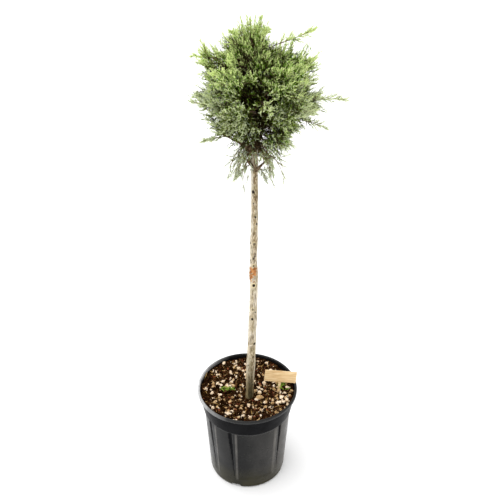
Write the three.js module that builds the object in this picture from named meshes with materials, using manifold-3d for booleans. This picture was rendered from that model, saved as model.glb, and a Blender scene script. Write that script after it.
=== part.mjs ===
// A loosely grown lollipop topiary: a juniper trained as a half standard, in a black nursery pot.
// Millimetres, +Z up. The origin is the centre of the pot's flat underside.
// The front of the plant faces -Y. Azimuths are in degrees, from +X towards +Y.
import * as THREE from "three";
import { mergeVertices } from "three/addons/utils/BufferGeometryUtils.js";
import Module from "manifold-3d";

const wasm = await Module();
wasm.setup();

// ---------------------------------------------------------------- driving dimensions
const JOINT_GAP = 0.4;            // clearance that touching pieces keep
const SLIVER = 0.15;              // cut edges finer than this are merged
const WELD = 1e-5;                // points nearer than this are one point
const STEM_SAMPLES = 200;         // steps along the stem when looking for a height
const POT = {
  height: 257,
  rimRadius: 120,                 // outside of the rolled lip
  lipHeight: 8,
  lipRound: 2,                    // how much the lip's top edge is rounded
  ledge: 1,                       // height of each step in the wall
  underLipRadius: 116.5,
  collarDrop: 57,                 // rim to the foot of the collar
  collarFootRadius: 107,
  shoulderRadius: 104.5,          // wall just under the collar
  baseRadius: 93.4,
  heelHeight: 7,                  // rounded corner between wall and floor
  heelMiddle: 0.3,                // where that corner's middle point lies, as a share of it
  wall: 2.4,
  floor: 3,
  segments: 44,
};
const DRAIN = { count: 4, firstAzimuth: 252, width: 24, height: 11, reach: 82 };
const MIX = { centreHeight: 230, edgeHeight: 244, flatRadius: 24, riseRadius: 70, riseHeight: 236, wallGap: 0.5 };
const LABEL = {
  x: 77,
  y: 4,
  plateWidth: 77,
  plateHeight: 30,
  plateFoot: 266,                 // height of the plate's lower edge
  stickWidth: 6,
  stickFoot: 190,
  thickness: 2,
  leanBack: 14,                   // degrees
  roll: -2.5,
};
const TRUNK = {
  // centre line, from the surface of the mix to the leader
  line: [[5, -7, 226], [7, -6, 290], [11, -4, 400], [15, -2, 560], [14, -1, 610], [16, 0, 720],
    [16, 0, 850], [13, 2, 1000], [9, 1, 1085], [7, 0, 1132]],
  footRadius: 11.5,
  crownRadius: 7.2,               // where the lowest boughs leave it
  tipRadius: 1.2,
  crownStart: 0.68,               // fraction of the length
  flare: 2.2,                     // extra radius of the root flare
  flareLength: 0.03,              // fraction of the length over which the flare dies away
  sides: 12,
  rings: 24,
};
const BOUGH = { footRadius: 3.6, tipRadius: 1.6, drop: 34, sag: 7, sides: 5, rings: 3 };
const SHOOT = { rootRadius: 5, bellyRadius: 7.5, tipRadius: 0.8, sides: 5, rings: 4 };
const MASS = { detail: 2, uneven: 0.13, sharpness: 7, growth: 0.7 };
const RIPPLE = { x: { wave: 3.1, phase: 1 }, y: { wave: 4.3, phase: 2.1 }, z: { wave: 3.7, phase: 3.3 } };
// How far each mass strays from its even place in the tier: a share of a step round, then millimetres.
const STRAY = {
  turn: { size: 0.16, wave: 2.4 },
  lift: { size: 7, wave: 1.7 },
  reach: { size: 9, wave: 2.9 },
};

// Foliage in tiers. reach and tipReach are measured from the stem, tipRise from the mass's own
// centre. half is half a mass's size out from the stem, round the stem, and in height. lean is how
// much further the tier reaches on its +X side, where the head has grown fuller.
const TIERS = [
  { name: "skirt", count: 3, turn: 215, height: 882, reach: 31, half: [22, 27, 28], tipReach: 54, tipRise: -34, lean: 0 },
  { name: "lower", count: 4, turn: 232, height: 928, reach: 52, half: [31, 38, 33], tipReach: 94, tipRise: -6, lean: 2 },
  { name: "middle", count: 5, turn: 244, height: 988, reach: 70, half: [34, 43, 36], tipReach: 120, tipRise: 14, lean: 16 },
  { name: "upper", count: 5, turn: 240, height: 1052, reach: 64, half: [33, 42, 36], tipReach: 106, tipRise: 24, lean: 15 },
  { name: "leader", count: 1, turn: 0, height: 1096, reach: 0, half: [38, 38, 34], tipReach: 4, tipRise: 62, lean: 0 },
];

// Long shoots that have outgrown the clipped outline: where each starts and where its tip is.
const SHOOTS = {
  right_long: { from: [80, -8, 990], tip: [188, -12, 1002], sag: 8 },
  right_low: { from: [84, -20, 972], tip: [156, -26, 948], sag: -4 },
  upper_right: { from: [60, 20, 1070], tip: [130, 26, 1128], sag: 4 },
  upper_left: { from: [-46, 10, 1038], tip: [-104, 10, 1080], sag: 5 },
  left: { from: [-55, -6, 972], tip: [-108, -10, 1000], sag: -4 },
  left_low: { from: [-44, -14, 928], tip: [-90, -22, 916], sag: 4 },
  top_left: { from: [-14, 14, 1086], tip: [-32, 18, 1126], sag: 2 },
  top_right: { from: [28, 16, 1090], tip: [42, 20, 1128], sag: 2 },
  front: { from: [28, -70, 1008], tip: [44, -128, 1022], sag: 4 },
  back_left: { from: [-18, 70, 1020], tip: [-48, 126, 1044], sag: 4 },
  back_right: { from: [55, 60, 975], tip: [86, 116, 966], sag: 5 },
  hanging_right: { from: [26, -10, 868], tip: [42, -18, 822], sag: -3 },
  hanging_left: { from: [0, -12, 870], tip: [-26, -20, 830], sag: 3 },
};

const COLOURS = {
  pot: 0x2f3032,
  mix: 0x3a2a1e,
  label: 0xe2c48f,
  bark: 0xb3a583,
  bough: 0x6f5d43,
  foliage: { skirt: 0x66784a, lower: 0x6a7f4c, middle: 0x76894f, upper: 0x859a58, leader: 0x93a860 },
  shoot: 0x8a9d62,
};
const ROUGHNESS = { pot: 0.45, mix: 0.95, label: 0.75, bark: 0.85, leaf: 0.7 };

// ---------------------------------------------------------------- solids
const UP = new THREE.Vector3(0, 0, 1);
const group = new THREE.Group();

function addMesh(name, geometry, colour, roughness) {
  const material = new THREE.MeshStandardMaterial({ color: colour, roughness, metalness: 0 });
  const mesh = new THREE.Mesh(geometry, material);
  mesh.name = name;
  group.add(mesh);
}

function signedVolume(positions, triangles) {
  const a = new THREE.Vector3();
  const b = new THREE.Vector3();
  const c = new THREE.Vector3();
  let volume = 0;
  for (let i = 0; i < triangles.length; i += 3) {
    a.fromArray(positions, triangles[i] * 3);
    b.fromArray(positions, triangles[i + 1] * 3);
    c.fromArray(positions, triangles[i + 2] * 3);
    volume += a.dot(b.cross(c)) / 6;
  }
  return volume;
}

function welded(geometry) {
  const bare = geometry.clone();
  bare.deleteAttribute("normal");
  bare.deleteAttribute("uv");
  return mergeVertices(bare, WELD);
}

function dropFlatTriangles(index) {
  const kept = [];
  for (let i = 0; i < index.length; i += 3) {
    const [a, b, c] = [index[i], index[i + 1], index[i + 2]];
    if (a !== b && b !== c && c !== a) kept.push(a, b, c);
  }
  return kept;
}

// A closed three.js geometry as a manifold solid with its faces pointing out.
function solidOf(geometry) {
  const merged = welded(geometry);
  const positions = merged.attributes.position.array;
  const triangles = dropFlatTriangles(merged.index.array);
  if (signedVolume(positions, triangles) < 0) triangles.reverse();
  return new wasm.Manifold(new wasm.Mesh({
    numProp: 3,
    vertProperties: new Float32Array(positions),
    triVerts: new Uint32Array(triangles),
  }));
}

function geometryOf(solid) {
  const mesh = solid.getMesh();
  const geometry = new THREE.BufferGeometry();
  geometry.setAttribute("position", new THREE.BufferAttribute(new Float32Array(mesh.vertProperties), 3));
  geometry.setIndex(new THREE.BufferAttribute(new Uint32Array(mesh.triVerts), 1));
  geometry.computeVertexNormals();
  return geometry;
}

// The biggest body that a cut leaves, without the slivers along its cut edges.
function largestPiece(solid) {
  const whole = solid.simplify(SLIVER);
  return whole.decompose().reduce((best, piece) => (piece.volume() > best.volume() ? piece : best));
}

function cutBy(solid, cutters) {
  return cutters.reduce((rest, cutter) => rest.subtract(cutter), solid);
}

function polar(azimuth, reach, height) {
  const angle = THREE.MathUtils.degToRad(azimuth);
  return new THREE.Vector3(reach * Math.cos(angle), reach * Math.sin(angle), height);
}

// A tapering limb: a lathe turned profile whose axis is bent along a curve.
function limb(curve, radiusAt, sides, rings) {
  const profile = [new THREE.Vector2(0, 0)];
  for (let i = 0; i <= rings; i += 1) profile.push(new THREE.Vector2(radiusAt(i / rings), i / rings));
  profile.push(new THREE.Vector2(0, 1));
  const geometry = new THREE.LatheGeometry(profile, sides);
  const frames = curve.computeFrenetFrames(rings, false);
  const position = geometry.attributes.position;
  const vertex = new THREE.Vector3();
  for (let i = 0; i < position.count; i += 1) {
    vertex.fromBufferAttribute(position, i);
    const ring = Math.round(vertex.y * rings);
    const placed = curve.getPointAt(ring / rings)
      .addScaledVector(frames.normals[ring], vertex.x)
      .addScaledVector(frames.binormals[ring], vertex.z);
    position.setXYZ(i, placed.x, placed.y, placed.z);
  }
  return geometry;
}

// ---------------------------------------------------------------- pot
function potProfile() {
  const { height, wall, floor, ledge, lipRound, heelHeight } = POT;
  const collarFoot = height - POT.collarDrop;
  const lipFoot = height - POT.lipHeight;
  const heelMiddle = heelHeight * POT.heelMiddle;
  const innerAt = (radius) => radius - wall;
  const points = [
    [0, 0],
    [POT.baseRadius - heelHeight, 0],
    [POT.baseRadius - heelMiddle, heelMiddle],
    [POT.baseRadius, heelHeight],
    [POT.shoulderRadius, collarFoot - ledge],
    [POT.collarFootRadius, collarFoot],
    [POT.underLipRadius, lipFoot - ledge],
    [POT.rimRadius, lipFoot],
    [POT.rimRadius, height - lipRound],
    [POT.rimRadius - lipRound, height],
    [innerAt(POT.rimRadius), height],
    [innerAt(POT.underLipRadius), lipFoot - 2 * ledge],
    [innerAt(POT.shoulderRadius), collarFoot],
    [innerAt(POT.baseRadius), heelHeight + floor],
    [innerAt(POT.baseRadius) - heelHeight, floor],
    [0, floor],
  ];
  return points.map(([radius, z]) => new THREE.Vector2(radius, z));
}

function upright(latheGeometry) {
  return latheGeometry.rotateX(Math.PI / 2);
}

function drainNotch(azimuth) {
  const length = POT.rimRadius - DRAIN.reach;
  const notch = new THREE.BoxGeometry(length, DRAIN.width, DRAIN.height * 2);
  notch.translate(DRAIN.reach + length / 2, 0, 0);
  notch.rotateZ(THREE.MathUtils.degToRad(azimuth));
  return solidOf(notch);
}

function potSolid() {
  const shell = solidOf(upright(new THREE.LatheGeometry(potProfile(), POT.segments)));
  const notches = [];
  for (let i = 0; i < DRAIN.count; i += 1) notches.push(drainNotch(DRAIN.firstAzimuth + i * 360 / DRAIN.count));
  return cutBy(shell, notches);
}

// ---------------------------------------------------------------- potting mix and label
function labelOutline(grow) {
  const halfPlate = LABEL.plateWidth / 2 + grow;
  const halfStick = LABEL.stickWidth / 2 + grow;
  const top = LABEL.plateHeight + grow;
  const foot = LABEL.stickFoot - LABEL.plateFoot - grow;
  const outline = new THREE.Shape();
  outline.moveTo(-halfStick, foot);
  outline.lineTo(halfStick, foot);
  outline.lineTo(halfStick, -grow);
  outline.lineTo(halfPlate, -grow);
  outline.lineTo(halfPlate, top);
  outline.lineTo(-halfPlate, top);
  outline.lineTo(-halfPlate, -grow);
  outline.lineTo(-halfStick, -grow);
  return outline;
}

function labelSolid(grow) {
  const depth = LABEL.thickness + 2 * grow;
  const geometry = new THREE.ExtrudeGeometry(labelOutline(grow), { depth, bevelEnabled: false });
  geometry.translate(0, 0, -depth / 2);
  geometry.rotateX(Math.PI / 2 - THREE.MathUtils.degToRad(LABEL.leanBack));
  geometry.rotateY(THREE.MathUtils.degToRad(-LABEL.roll));
  geometry.translate(LABEL.x, LABEL.y, LABEL.plateFoot);
  return solidOf(geometry);
}

function mixSolid() {
  const inner = (radius) => radius - POT.wall - MIX.wallGap;
  const bottom = POT.floor + MIX.wallGap;
  const wallFoot = POT.heelHeight + POT.floor + MIX.wallGap;
  const collarFoot = POT.height - POT.collarDrop;
  const lipFoot = POT.height - POT.lipHeight;
  const upCollar = THREE.MathUtils.mapLinear(MIX.edgeHeight, collarFoot, lipFoot, 0, 1);
  const edgeRadius = THREE.MathUtils.lerp(inner(POT.shoulderRadius), inner(POT.underLipRadius), upCollar);
  const points = [
    [0, bottom],
    [inner(POT.baseRadius) - POT.heelHeight, bottom],
    [inner(POT.baseRadius), wallFoot],
    [inner(POT.shoulderRadius), collarFoot],
    [edgeRadius - MIX.wallGap, MIX.edgeHeight],
    [MIX.riseRadius, MIX.riseHeight],
    [MIX.flatRadius, MIX.centreHeight],
    [0, MIX.centreHeight],
  ];
  const profile = points.map(([radius, z]) => new THREE.Vector2(radius, z));
  return solidOf(upright(new THREE.LatheGeometry(profile, POT.segments)));
}

// ---------------------------------------------------------------- trunk, boughs and long shoots
const trunkCurve = new THREE.CatmullRomCurve3(TRUNK.line.map((point) => new THREE.Vector3(...point)));

function trunkRadius(t) {
  const { crownStart, footRadius, crownRadius, tipRadius } = TRUNK;
  const stem = THREE.MathUtils.lerp(footRadius, crownRadius, Math.min(t / crownStart, 1));
  const leader = THREE.MathUtils.lerp(0, crownRadius - tipRadius, Math.max(t - crownStart, 0) / (1 - crownStart));
  return stem - leader + TRUNK.flare * Math.exp(-t / TRUNK.flareLength);
}

function trunkSolid(grow) {
  const body = solidOf(limb(trunkCurve, (t) => trunkRadius(t) + grow, TRUNK.sides, TRUNK.rings));
  const below = new THREE.BoxGeometry(POT.rimRadius, POT.rimRadius, POT.height);
  below.translate(0, 0, MIX.centreHeight + JOINT_GAP - grow - POT.height / 2);
  return body.subtract(solidOf(below));
}

function stemAt(height) {
  let best = trunkCurve.getPointAt(0);
  for (let i = 1; i <= STEM_SAMPLES; i += 1) {
    const point = trunkCurve.getPointAt(i / STEM_SAMPLES);
    if (Math.abs(point.z - height) < Math.abs(best.z - height)) best = point;
  }
  return new THREE.Vector3(best.x, best.y, height);
}

function boughSolid(mass, grow) {
  const foot = stemAt(mass.centre.z - BOUGH.drop);
  const elbow = foot.clone().lerp(mass.centre, 0.5);
  elbow.z -= BOUGH.sag;
  const curve = new THREE.QuadraticBezierCurve3(foot, elbow, mass.centre);
  const radiusAt = (t) => grow + THREE.MathUtils.lerp(BOUGH.footRadius, BOUGH.tipRadius, t);
  return solidOf(limb(curve, radiusAt, BOUGH.sides, BOUGH.rings));
}

function shootSolid(shoot, grow) {
  const from = new THREE.Vector3(...shoot.from);
  const tip = new THREE.Vector3(...shoot.tip);
  const middle = from.clone().lerp(tip, 0.5);
  middle.z += shoot.sag;
  const curve = new THREE.QuadraticBezierCurve3(from, middle, tip);
  const radiusAt = (t) => grow + THREE.MathUtils.lerp(SHOOT.rootRadius, SHOOT.tipRadius, t)
    + (SHOOT.bellyRadius - SHOOT.rootRadius) * Math.sin(Math.PI * t);
  return solidOf(limb(curve, radiusAt, SHOOT.sides, SHOOT.rings));
}

// ---------------------------------------------------------------- foliage
// Slow ripples over the sphere of directions, between -1 and 1.
function ripple(direction, seed) {
  const along = ["x", "y", "z"].map((axis) => Math.sin(RIPPLE[axis].wave * direction[axis] + RIPPLE[axis].phase * seed));
  return (along[0] + along[1] + along[2]) / along.length;
}

// A ball with ripples, drawn out to a blunt point at the mass's tip.
function massSolid(mass, grow) {
  const ball = welded(new THREE.IcosahedronGeometry(1, MASS.detail));
  const position = ball.attributes.position;
  const toTip = mass.tip.clone().sub(mass.centre);
  const tipDirection = toTip.clone().normalize();
  const first = new THREE.Vector3().fromBufferAttribute(position, 0).normalize();
  const turn = new THREE.Quaternion().setFromUnitVectors(first, tipDirection);
  const half = new THREE.Vector3(...mass.half);
  const surfaceAt = (direction) => direction.clone()
    .applyAxisAngle(UP, -mass.angle)
    .multiply(half)
    .applyAxisAngle(UP, mass.angle)
    .multiplyScalar(1 + MASS.uneven * ripple(direction, mass.seed));
  const pull = toTip.sub(surfaceAt(tipDirection));
  for (let i = 0; i < position.count; i += 1) {
    const direction = new THREE.Vector3().fromBufferAttribute(position, i).normalize().applyQuaternion(turn);
    const share = Math.max(direction.dot(tipDirection), 0) ** MASS.sharpness;
    const point = surfaceAt(direction)
      .addScaledVector(direction, grow)
      .addScaledVector(pull, share)
      .add(mass.centre);
    position.setXYZ(i, point.x, point.y, point.z);
  }
  return solidOf(ball);
}

function strayOf(kind, seed) {
  return STRAY[kind].size * Math.sin(STRAY[kind].wave * seed);
}

function crownMasses() {
  const masses = [];
  for (const tier of TIERS) {
    const stem = stemAt(tier.height);
    for (let i = 0; i < tier.count; i += 1) {
      const seed = masses.length + 1;
      const azimuth = tier.turn + (i + strayOf("turn", seed)) * 360 / tier.count;
      const angle = THREE.MathUtils.degToRad(azimuth);
      const lift = strayOf("lift", seed);
      const lean = tier.lean * Math.max(Math.cos(angle), 0);
      const centre = polar(azimuth, tier.reach + lean, lift).add(stem);
      const tip = polar(azimuth, tier.tipReach + lean + strayOf("reach", seed), lift + tier.tipRise).add(stem);
      const half = [tier.half[0] + lean / 2, tier.half[1], tier.half[2]];
      const name = tier.count > 1 ? `foliage_${tier.name}_${i + 1}` : `foliage_${tier.name}`;
      masses.push({ name, tier: tier.name, centre, tip, half, angle, seed });
    }
  }
  return masses;
}

// ---------------------------------------------------------------- assembly
addMesh("pot", geometryOf(potSolid()), COLOURS.pot, ROUGHNESS.pot);
addMesh("potting_mix", geometryOf(mixSolid().subtract(labelSolid(JOINT_GAP))), COLOURS.mix, ROUGHNESS.mix);
addMesh("plant_label", geometryOf(labelSolid(0)), COLOURS.label, ROUGHNESS.label);
addMesh("trunk", geometryOf(trunkSolid(0)), COLOURS.bark, ROUGHNESS.bark);

const trunkCutter = trunkSolid(JOINT_GAP);
const masses = crownMasses();
const massCutters = [];
for (const mass of masses) {
  const solid = largestPiece(cutBy(massSolid(mass, 0), [trunkCutter, ...massCutters]));
  massCutters.push(massSolid(mass, MASS.growth));
  addMesh(mass.name, geometryOf(solid), COLOURS.foliage[mass.tier], ROUGHNESS.leaf);
}

const limbCutters = [trunkCutter, ...massCutters];
for (const mass of masses.filter(({ tier }) => tier !== "leader")) {
  const solid = largestPiece(cutBy(boughSolid(mass, 0), limbCutters));
  limbCutters.push(boughSolid(mass, JOINT_GAP));
  addMesh(mass.name.replace("foliage", "bough"), geometryOf(solid), COLOURS.bough, ROUGHNESS.bark);
}

for (const [name, shoot] of Object.entries(SHOOTS)) {
  const solid = largestPiece(cutBy(shootSolid(shoot, 0), limbCutters));
  limbCutters.push(shootSolid(shoot, JOINT_GAP));
  addMesh(`shoot_${name}`, geometryOf(solid), COLOURS.shoot, ROUGHNESS.leaf);
}

export default group;
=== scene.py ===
# %% [markdown]
# # A half-standard juniper in its nursery pot
# The plant has one bare stem, a loosely grown head of fine scale-leaved sprays, and a moulded pot
# with a gritty mix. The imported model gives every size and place. Here each of its plain solids is
# replaced by a surface or a growth of twigs that fills the same space. Metres, +Z up, front is -Y.

# %% The frame and the tools
import math

import bpy
import numpy as np
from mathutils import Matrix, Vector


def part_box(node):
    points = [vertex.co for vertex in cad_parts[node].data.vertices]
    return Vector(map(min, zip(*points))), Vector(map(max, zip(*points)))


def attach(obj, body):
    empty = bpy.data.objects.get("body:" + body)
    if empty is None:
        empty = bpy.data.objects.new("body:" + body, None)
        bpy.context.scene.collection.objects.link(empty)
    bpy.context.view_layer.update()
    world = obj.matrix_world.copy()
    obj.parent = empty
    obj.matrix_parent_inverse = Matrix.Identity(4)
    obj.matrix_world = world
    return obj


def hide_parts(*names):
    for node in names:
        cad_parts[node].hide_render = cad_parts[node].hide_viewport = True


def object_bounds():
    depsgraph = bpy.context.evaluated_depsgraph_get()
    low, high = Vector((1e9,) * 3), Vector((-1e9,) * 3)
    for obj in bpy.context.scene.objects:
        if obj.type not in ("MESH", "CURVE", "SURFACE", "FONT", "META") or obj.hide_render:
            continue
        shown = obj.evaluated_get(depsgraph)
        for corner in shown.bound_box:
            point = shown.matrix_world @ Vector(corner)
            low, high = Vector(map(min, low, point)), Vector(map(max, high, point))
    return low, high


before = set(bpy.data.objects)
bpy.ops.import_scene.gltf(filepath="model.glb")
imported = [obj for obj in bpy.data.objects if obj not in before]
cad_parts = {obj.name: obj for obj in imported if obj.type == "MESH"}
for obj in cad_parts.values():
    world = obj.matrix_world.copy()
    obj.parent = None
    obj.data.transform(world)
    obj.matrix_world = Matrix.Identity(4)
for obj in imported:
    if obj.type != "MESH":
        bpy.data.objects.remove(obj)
cad_low, cad_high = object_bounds()
UP = np.array([0.0, 0.0, 1.0])
FULL_TURN = 2 * math.pi
MM = 0.001
print("nodes", len(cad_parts), "box", [round(v, 3) for v in (*cad_low, *cad_high)])

# %% [markdown]
# ## Camera
# A plant this tall is looked at from standing height, so the camera looks down on the pot and
# across at the head. A longish lens keeps the stem straight. The camera comes first, and its place
# is given as fixed numbers.

# %% Camera
CAMERA_PLACE = (0.0066, -1.421, 1.607)
CAMERA_DOWN = math.radians(33.9)
LENS_MM, SENSOR_MM = 57.6, 36.0


def set_up(name, data, location=(0.0, 0.0, 0.0), rotation=(0.0, 0.0, 0.0)):
    """A new object of the scene, with its data, place and turn."""
    thing = bpy.data.objects.new(name, data)
    thing.location = location
    thing.rotation_euler = rotation
    bpy.context.scene.collection.objects.link(thing)
    return thing


camera_data = bpy.data.cameras.new("camera")
camera_data.lens = LENS_MM
camera_data.sensor_width = SENSOR_MM
bpy.context.scene.camera = set_up("camera", camera_data, CAMERA_PLACE, (math.pi / 2 - CAMERA_DOWN, 0.0, 0.0))
print("camera", CAMERA_PLACE)

# %% [markdown]
# ## From arrays to meshes
# All shapes below are arrays of points and faces. One helper puts them into a mesh with
# foreach_set, which is fast enough for the hundred thousand cords of leaves that come later.
# Unevenness comes from sums of sine waves: they are smooth, cheap and the same on each run.


# %% Mesh helpers
def unit(vectors):
    """Vectors divided by their own length."""
    return vectors / np.maximum(np.linalg.norm(vectors, axis=-1, keepdims=True), 1e-9)


def add_piece(name, points, faces, material, slot, smooth=True, replaces=(), attributes=None):
    """A mesh object from points (n, 3) and faces (m, 3 or 4), which rides on the one body."""
    mesh = bpy.data.meshes.new(name)
    corners = faces.shape[1]
    mesh.vertices.add(len(points))
    mesh.vertices.foreach_set("co", np.ascontiguousarray(points, np.float32).ravel())
    mesh.loops.add(faces.size)
    mesh.loops.foreach_set("vertex_index", faces.astype(np.int32).ravel())
    mesh.polygons.add(len(faces))
    mesh.polygons.foreach_set("loop_start", np.arange(0, faces.size, corners, dtype=np.int32))
    mesh.polygons.foreach_set("use_smooth", np.full(len(faces), smooth))
    mesh.update(calc_edges=True)
    for key, values in (attributes or {}).items():
        layer = mesh.attributes.new(key, "FLOAT", "POINT")
        layer.data.foreach_set("value", values.astype(np.float32).ravel())
    mesh.materials.append(material)
    piece = set_up(name, mesh)
    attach(piece, "root")
    if replaces:
        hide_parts(*replaces)
    print(f"{name}: {len(faces) * (corners - 2)} triangles")
    return piece


def turned_faces(rows, columns):
    """Triangles of a grid that closes round its columns, with a pole before its first row and
    after its last. Vertex order: all rows, then the first pole, then the last pole."""
    i, j = np.meshgrid(np.arange(rows - 1), np.arange(columns), indexing="ij")
    k = (j + 1) % columns
    a, b, c, d = i * columns + j, i * columns + k, (i + 1) * columns + k, (i + 1) * columns + j
    walls = np.concatenate([np.stack([a, b, c], -1), np.stack([a, c, d], -1)]).reshape(-1, 3)
    j = np.arange(columns)
    k = (j + 1) % columns
    first, last, top = rows * columns, rows * columns + 1, (rows - 1) * columns
    foot = np.stack([np.full(columns, first), k, j], -1)
    head = np.stack([np.full(columns, last), top + j, top + k], -1)
    return np.concatenate([walls, foot, head])


def turned_points(radius, height, angle):
    """Points of a turned shape: (r cos a, r sin a, z), with r and z given per row and column."""
    grid = np.stack([radius * np.cos(angle), radius * np.sin(angle), height], -1)
    poles = np.array([[0, 0, grid[0, :, 2].mean()], [0, 0, grid[-1, :, 2].mean()]])
    return np.concatenate([grid.reshape(-1, 3), poles])


def with_poles(values, shape):
    """A value for each point of a turned shape: the grid's own values and 0 at both poles."""
    return np.append(np.broadcast_to(values, shape).ravel(), [0.0, 0.0])


def across_and_over(forward, first=None):
    """Two directions at right angles to `forward` and to each other. `first` are the directions
    that choose the helper axis, where they are not `forward` itself."""
    first = forward if first is None else first
    helper = np.where(np.abs(first[..., 2:]) < 0.9, UP, np.array([1.0, 0.0, 0.0]))
    across = unit(np.cross(helper, forward))
    return across, np.cross(forward, across)


def waves(points, size, count, seed):
    """Smooth unevenness between about -1 and 1: the mean of `count` sine waves that run in random
    directions, each about `size` long."""
    rng = np.random.default_rng(seed)
    run = unit(rng.normal(size=(count, 3))) * FULL_TURN / (size * rng.uniform(0.6, 1.6, (count, 1)))
    phase = rng.uniform(0, FULL_TURN, count)
    return np.sin(points @ run.T + phase).sum(-1) / math.sqrt(count)


def turn_from(angle, azimuth):
    """The turn from an azimuth to each angle, between -pi and pi."""
    return (angle - azimuth + math.pi) % FULL_TURN - math.pi


def nearest_turn(angle, azimuths):
    """The smallest turn between each angle and any of the azimuths."""
    return np.abs(turn_from(angle[..., None], azimuths)).min(-1)


def smoothstep(values, low, high):
    """0 below low, 1 above high, and 3t^2 - 2t^3 between them."""
    t = np.clip((values - low) / (high - low), 0, 1)
    return t * t * (3 - 2 * t)


# %% [markdown]
# ## Materials from nodes
# Every finish is a small node tree on Object coordinates, so that it sits still on its piece.
# Noise goes through a colour ramp to the base colour, and finer noise goes to a bump. Marks that
# have a place, such as a scar, come in as mesh attributes that the shape's own formula gave.


# %% Material helpers
def node_finish(name, roughness, specular=0.4):
    """A new material with a Principled shader. Returns the material, its tree and the shader."""
    material = bpy.data.materials.new(name)
    material.use_nodes = True
    tree = material.node_tree
    shader = tree.nodes["Principled BSDF"]
    shader.inputs["Roughness"].default_value = roughness
    shader.inputs["Specular IOR Level"].default_value = specular
    return material, tree, shader


def noise_on(tree, scale, detail=4.0, stretch=(1, 1, 1), rough=0.55):
    """The grey output of a Noise Texture on Object coordinates, stretched along an axis."""
    place = tree.nodes.new("ShaderNodeTexCoord")
    mapping = tree.nodes.new("ShaderNodeMapping")
    mapping.inputs["Scale"].default_value = stretch
    noise = tree.nodes.new("ShaderNodeTexNoise")
    noise.inputs["Scale"].default_value = scale
    noise.inputs["Detail"].default_value = detail
    noise.inputs["Roughness"].default_value = rough
    tree.links.new(place.outputs["Object"], mapping.inputs["Vector"])
    tree.links.new(mapping.outputs["Vector"], noise.inputs["Vector"])
    return noise.outputs["Fac"]


def ramp_on(tree, source, stops):
    """A colour ramp over a grey input. Stops are (position, (r, g, b))."""
    ramp = tree.nodes.new("ShaderNodeValToRGB")
    while len(ramp.color_ramp.elements) < len(stops):
        ramp.color_ramp.elements.new(0.5)
    for element, (position, colour) in zip(ramp.color_ramp.elements, stops):
        element.position = position
        element.color = (*colour, 1.0)
    tree.links.new(source, ramp.inputs["Fac"])
    return ramp.outputs["Color"]


def noise_ramp(tree, scale, detail, stops, stretch=(1, 1, 1)):
    """A colour ramp over noise."""
    return ramp_on(tree, noise_on(tree, scale, detail, stretch), stops)


def blend_on(tree, share, first, second):
    """Mixes two colours by a grey share. A colour is a socket or a plain (r, g, b)."""
    mix = tree.nodes.new("ShaderNodeMix")
    mix.data_type = "RGBA"
    tree.links.new(share, mix.inputs[0])
    for socket, colour in ((mix.inputs[6], first), (mix.inputs[7], second)):
        if isinstance(colour, tuple):
            socket.default_value = (*colour, 1.0)
        else:
            tree.links.new(colour, socket)
    return mix.outputs[2]


def paint(tree, shader, base, layers=()):
    """The base colour: colours laid over `base` one after another, each by its own share."""
    for share, colour in layers:
        base = blend_on(tree, share, base, colour)
    tree.links.new(base, shader.inputs["Base Color"])


def bump_on(tree, shader, source, distance, strength=1.0):
    """Relief from a grey input, `distance` metres deep."""
    bump = tree.nodes.new("ShaderNodeBump")
    bump.inputs["Distance"].default_value = distance
    bump.inputs["Strength"].default_value = strength
    tree.links.new(source, bump.inputs["Height"])
    tree.links.new(bump.outputs["Normal"], shader.inputs["Normal"])


def attribute_on(tree, name):
    """The grey value that a mesh attribute holds at each point."""
    attribute = tree.nodes.new("ShaderNodeAttribute")
    attribute.attribute_name = name
    return attribute.outputs["Fac"]


def grey(level):
    """An even grey as a colour."""
    return (level, level, level)


def axis_share(tree, axis, low, high):
    """0 where the Object coordinate of an axis is low and 1 where it is high."""
    place = tree.nodes.new("ShaderNodeTexCoord")
    split = tree.nodes.new("ShaderNodeSeparateXYZ")
    spread = tree.nodes.new("ShaderNodeMapRange")
    spread.inputs["From Min"].default_value = low
    spread.inputs["From Max"].default_value = high
    tree.links.new(place.outputs["Object"], split.inputs["Vector"])
    tree.links.new(split.outputs[axis], spread.inputs["Value"])
    return spread.outputs["Result"]


def times(tree, first, second):
    """The product of two grey values."""
    product = tree.nodes.new("ShaderNodeMath")
    product.operation = "MULTIPLY"
    tree.links.new(first, product.inputs[0])
    tree.links.new(second, product.inputs[1])
    return product.outputs["Value"]


def mottled(name, scale, stops, relief, roughness=0.9, specular=0.02, detail=5, finer=5):
    """A rough mineral or bark finish: noise through a ramp, and noise that is `finer` as relief."""
    material, tree, shader = node_finish(name, roughness, specular)
    paint(tree, shader, noise_ramp(tree, scale, detail, stops))
    bump_on(tree, shader, noise_on(tree, scale * finer, detail), relief)
    return material


def plain_finish(name, colour, roughness, specular):
    """One even colour."""
    material, _, shader = node_finish(name, roughness, specular)
    shader.inputs["Base Color"].default_value = (*colour, 1.0)
    return material


# %% [markdown]
# ## The pot
# A nursery pot is injection moulded in black polypropylene: a rolled lip, a tapered collar that
# lets pots stack, a thin wall that narrow flutes and low ribs stiffen, a slightly sunk flat panel,
# and drain notches in the bottom edge. It is a turned shape whose radius also depends on the
# angle, so one grid of height and angle makes it, and flutes, ribs, panel and notches are smooth
# steps in that grid. A mesh cut with booleans would have the same edges and far worse faces.

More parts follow.
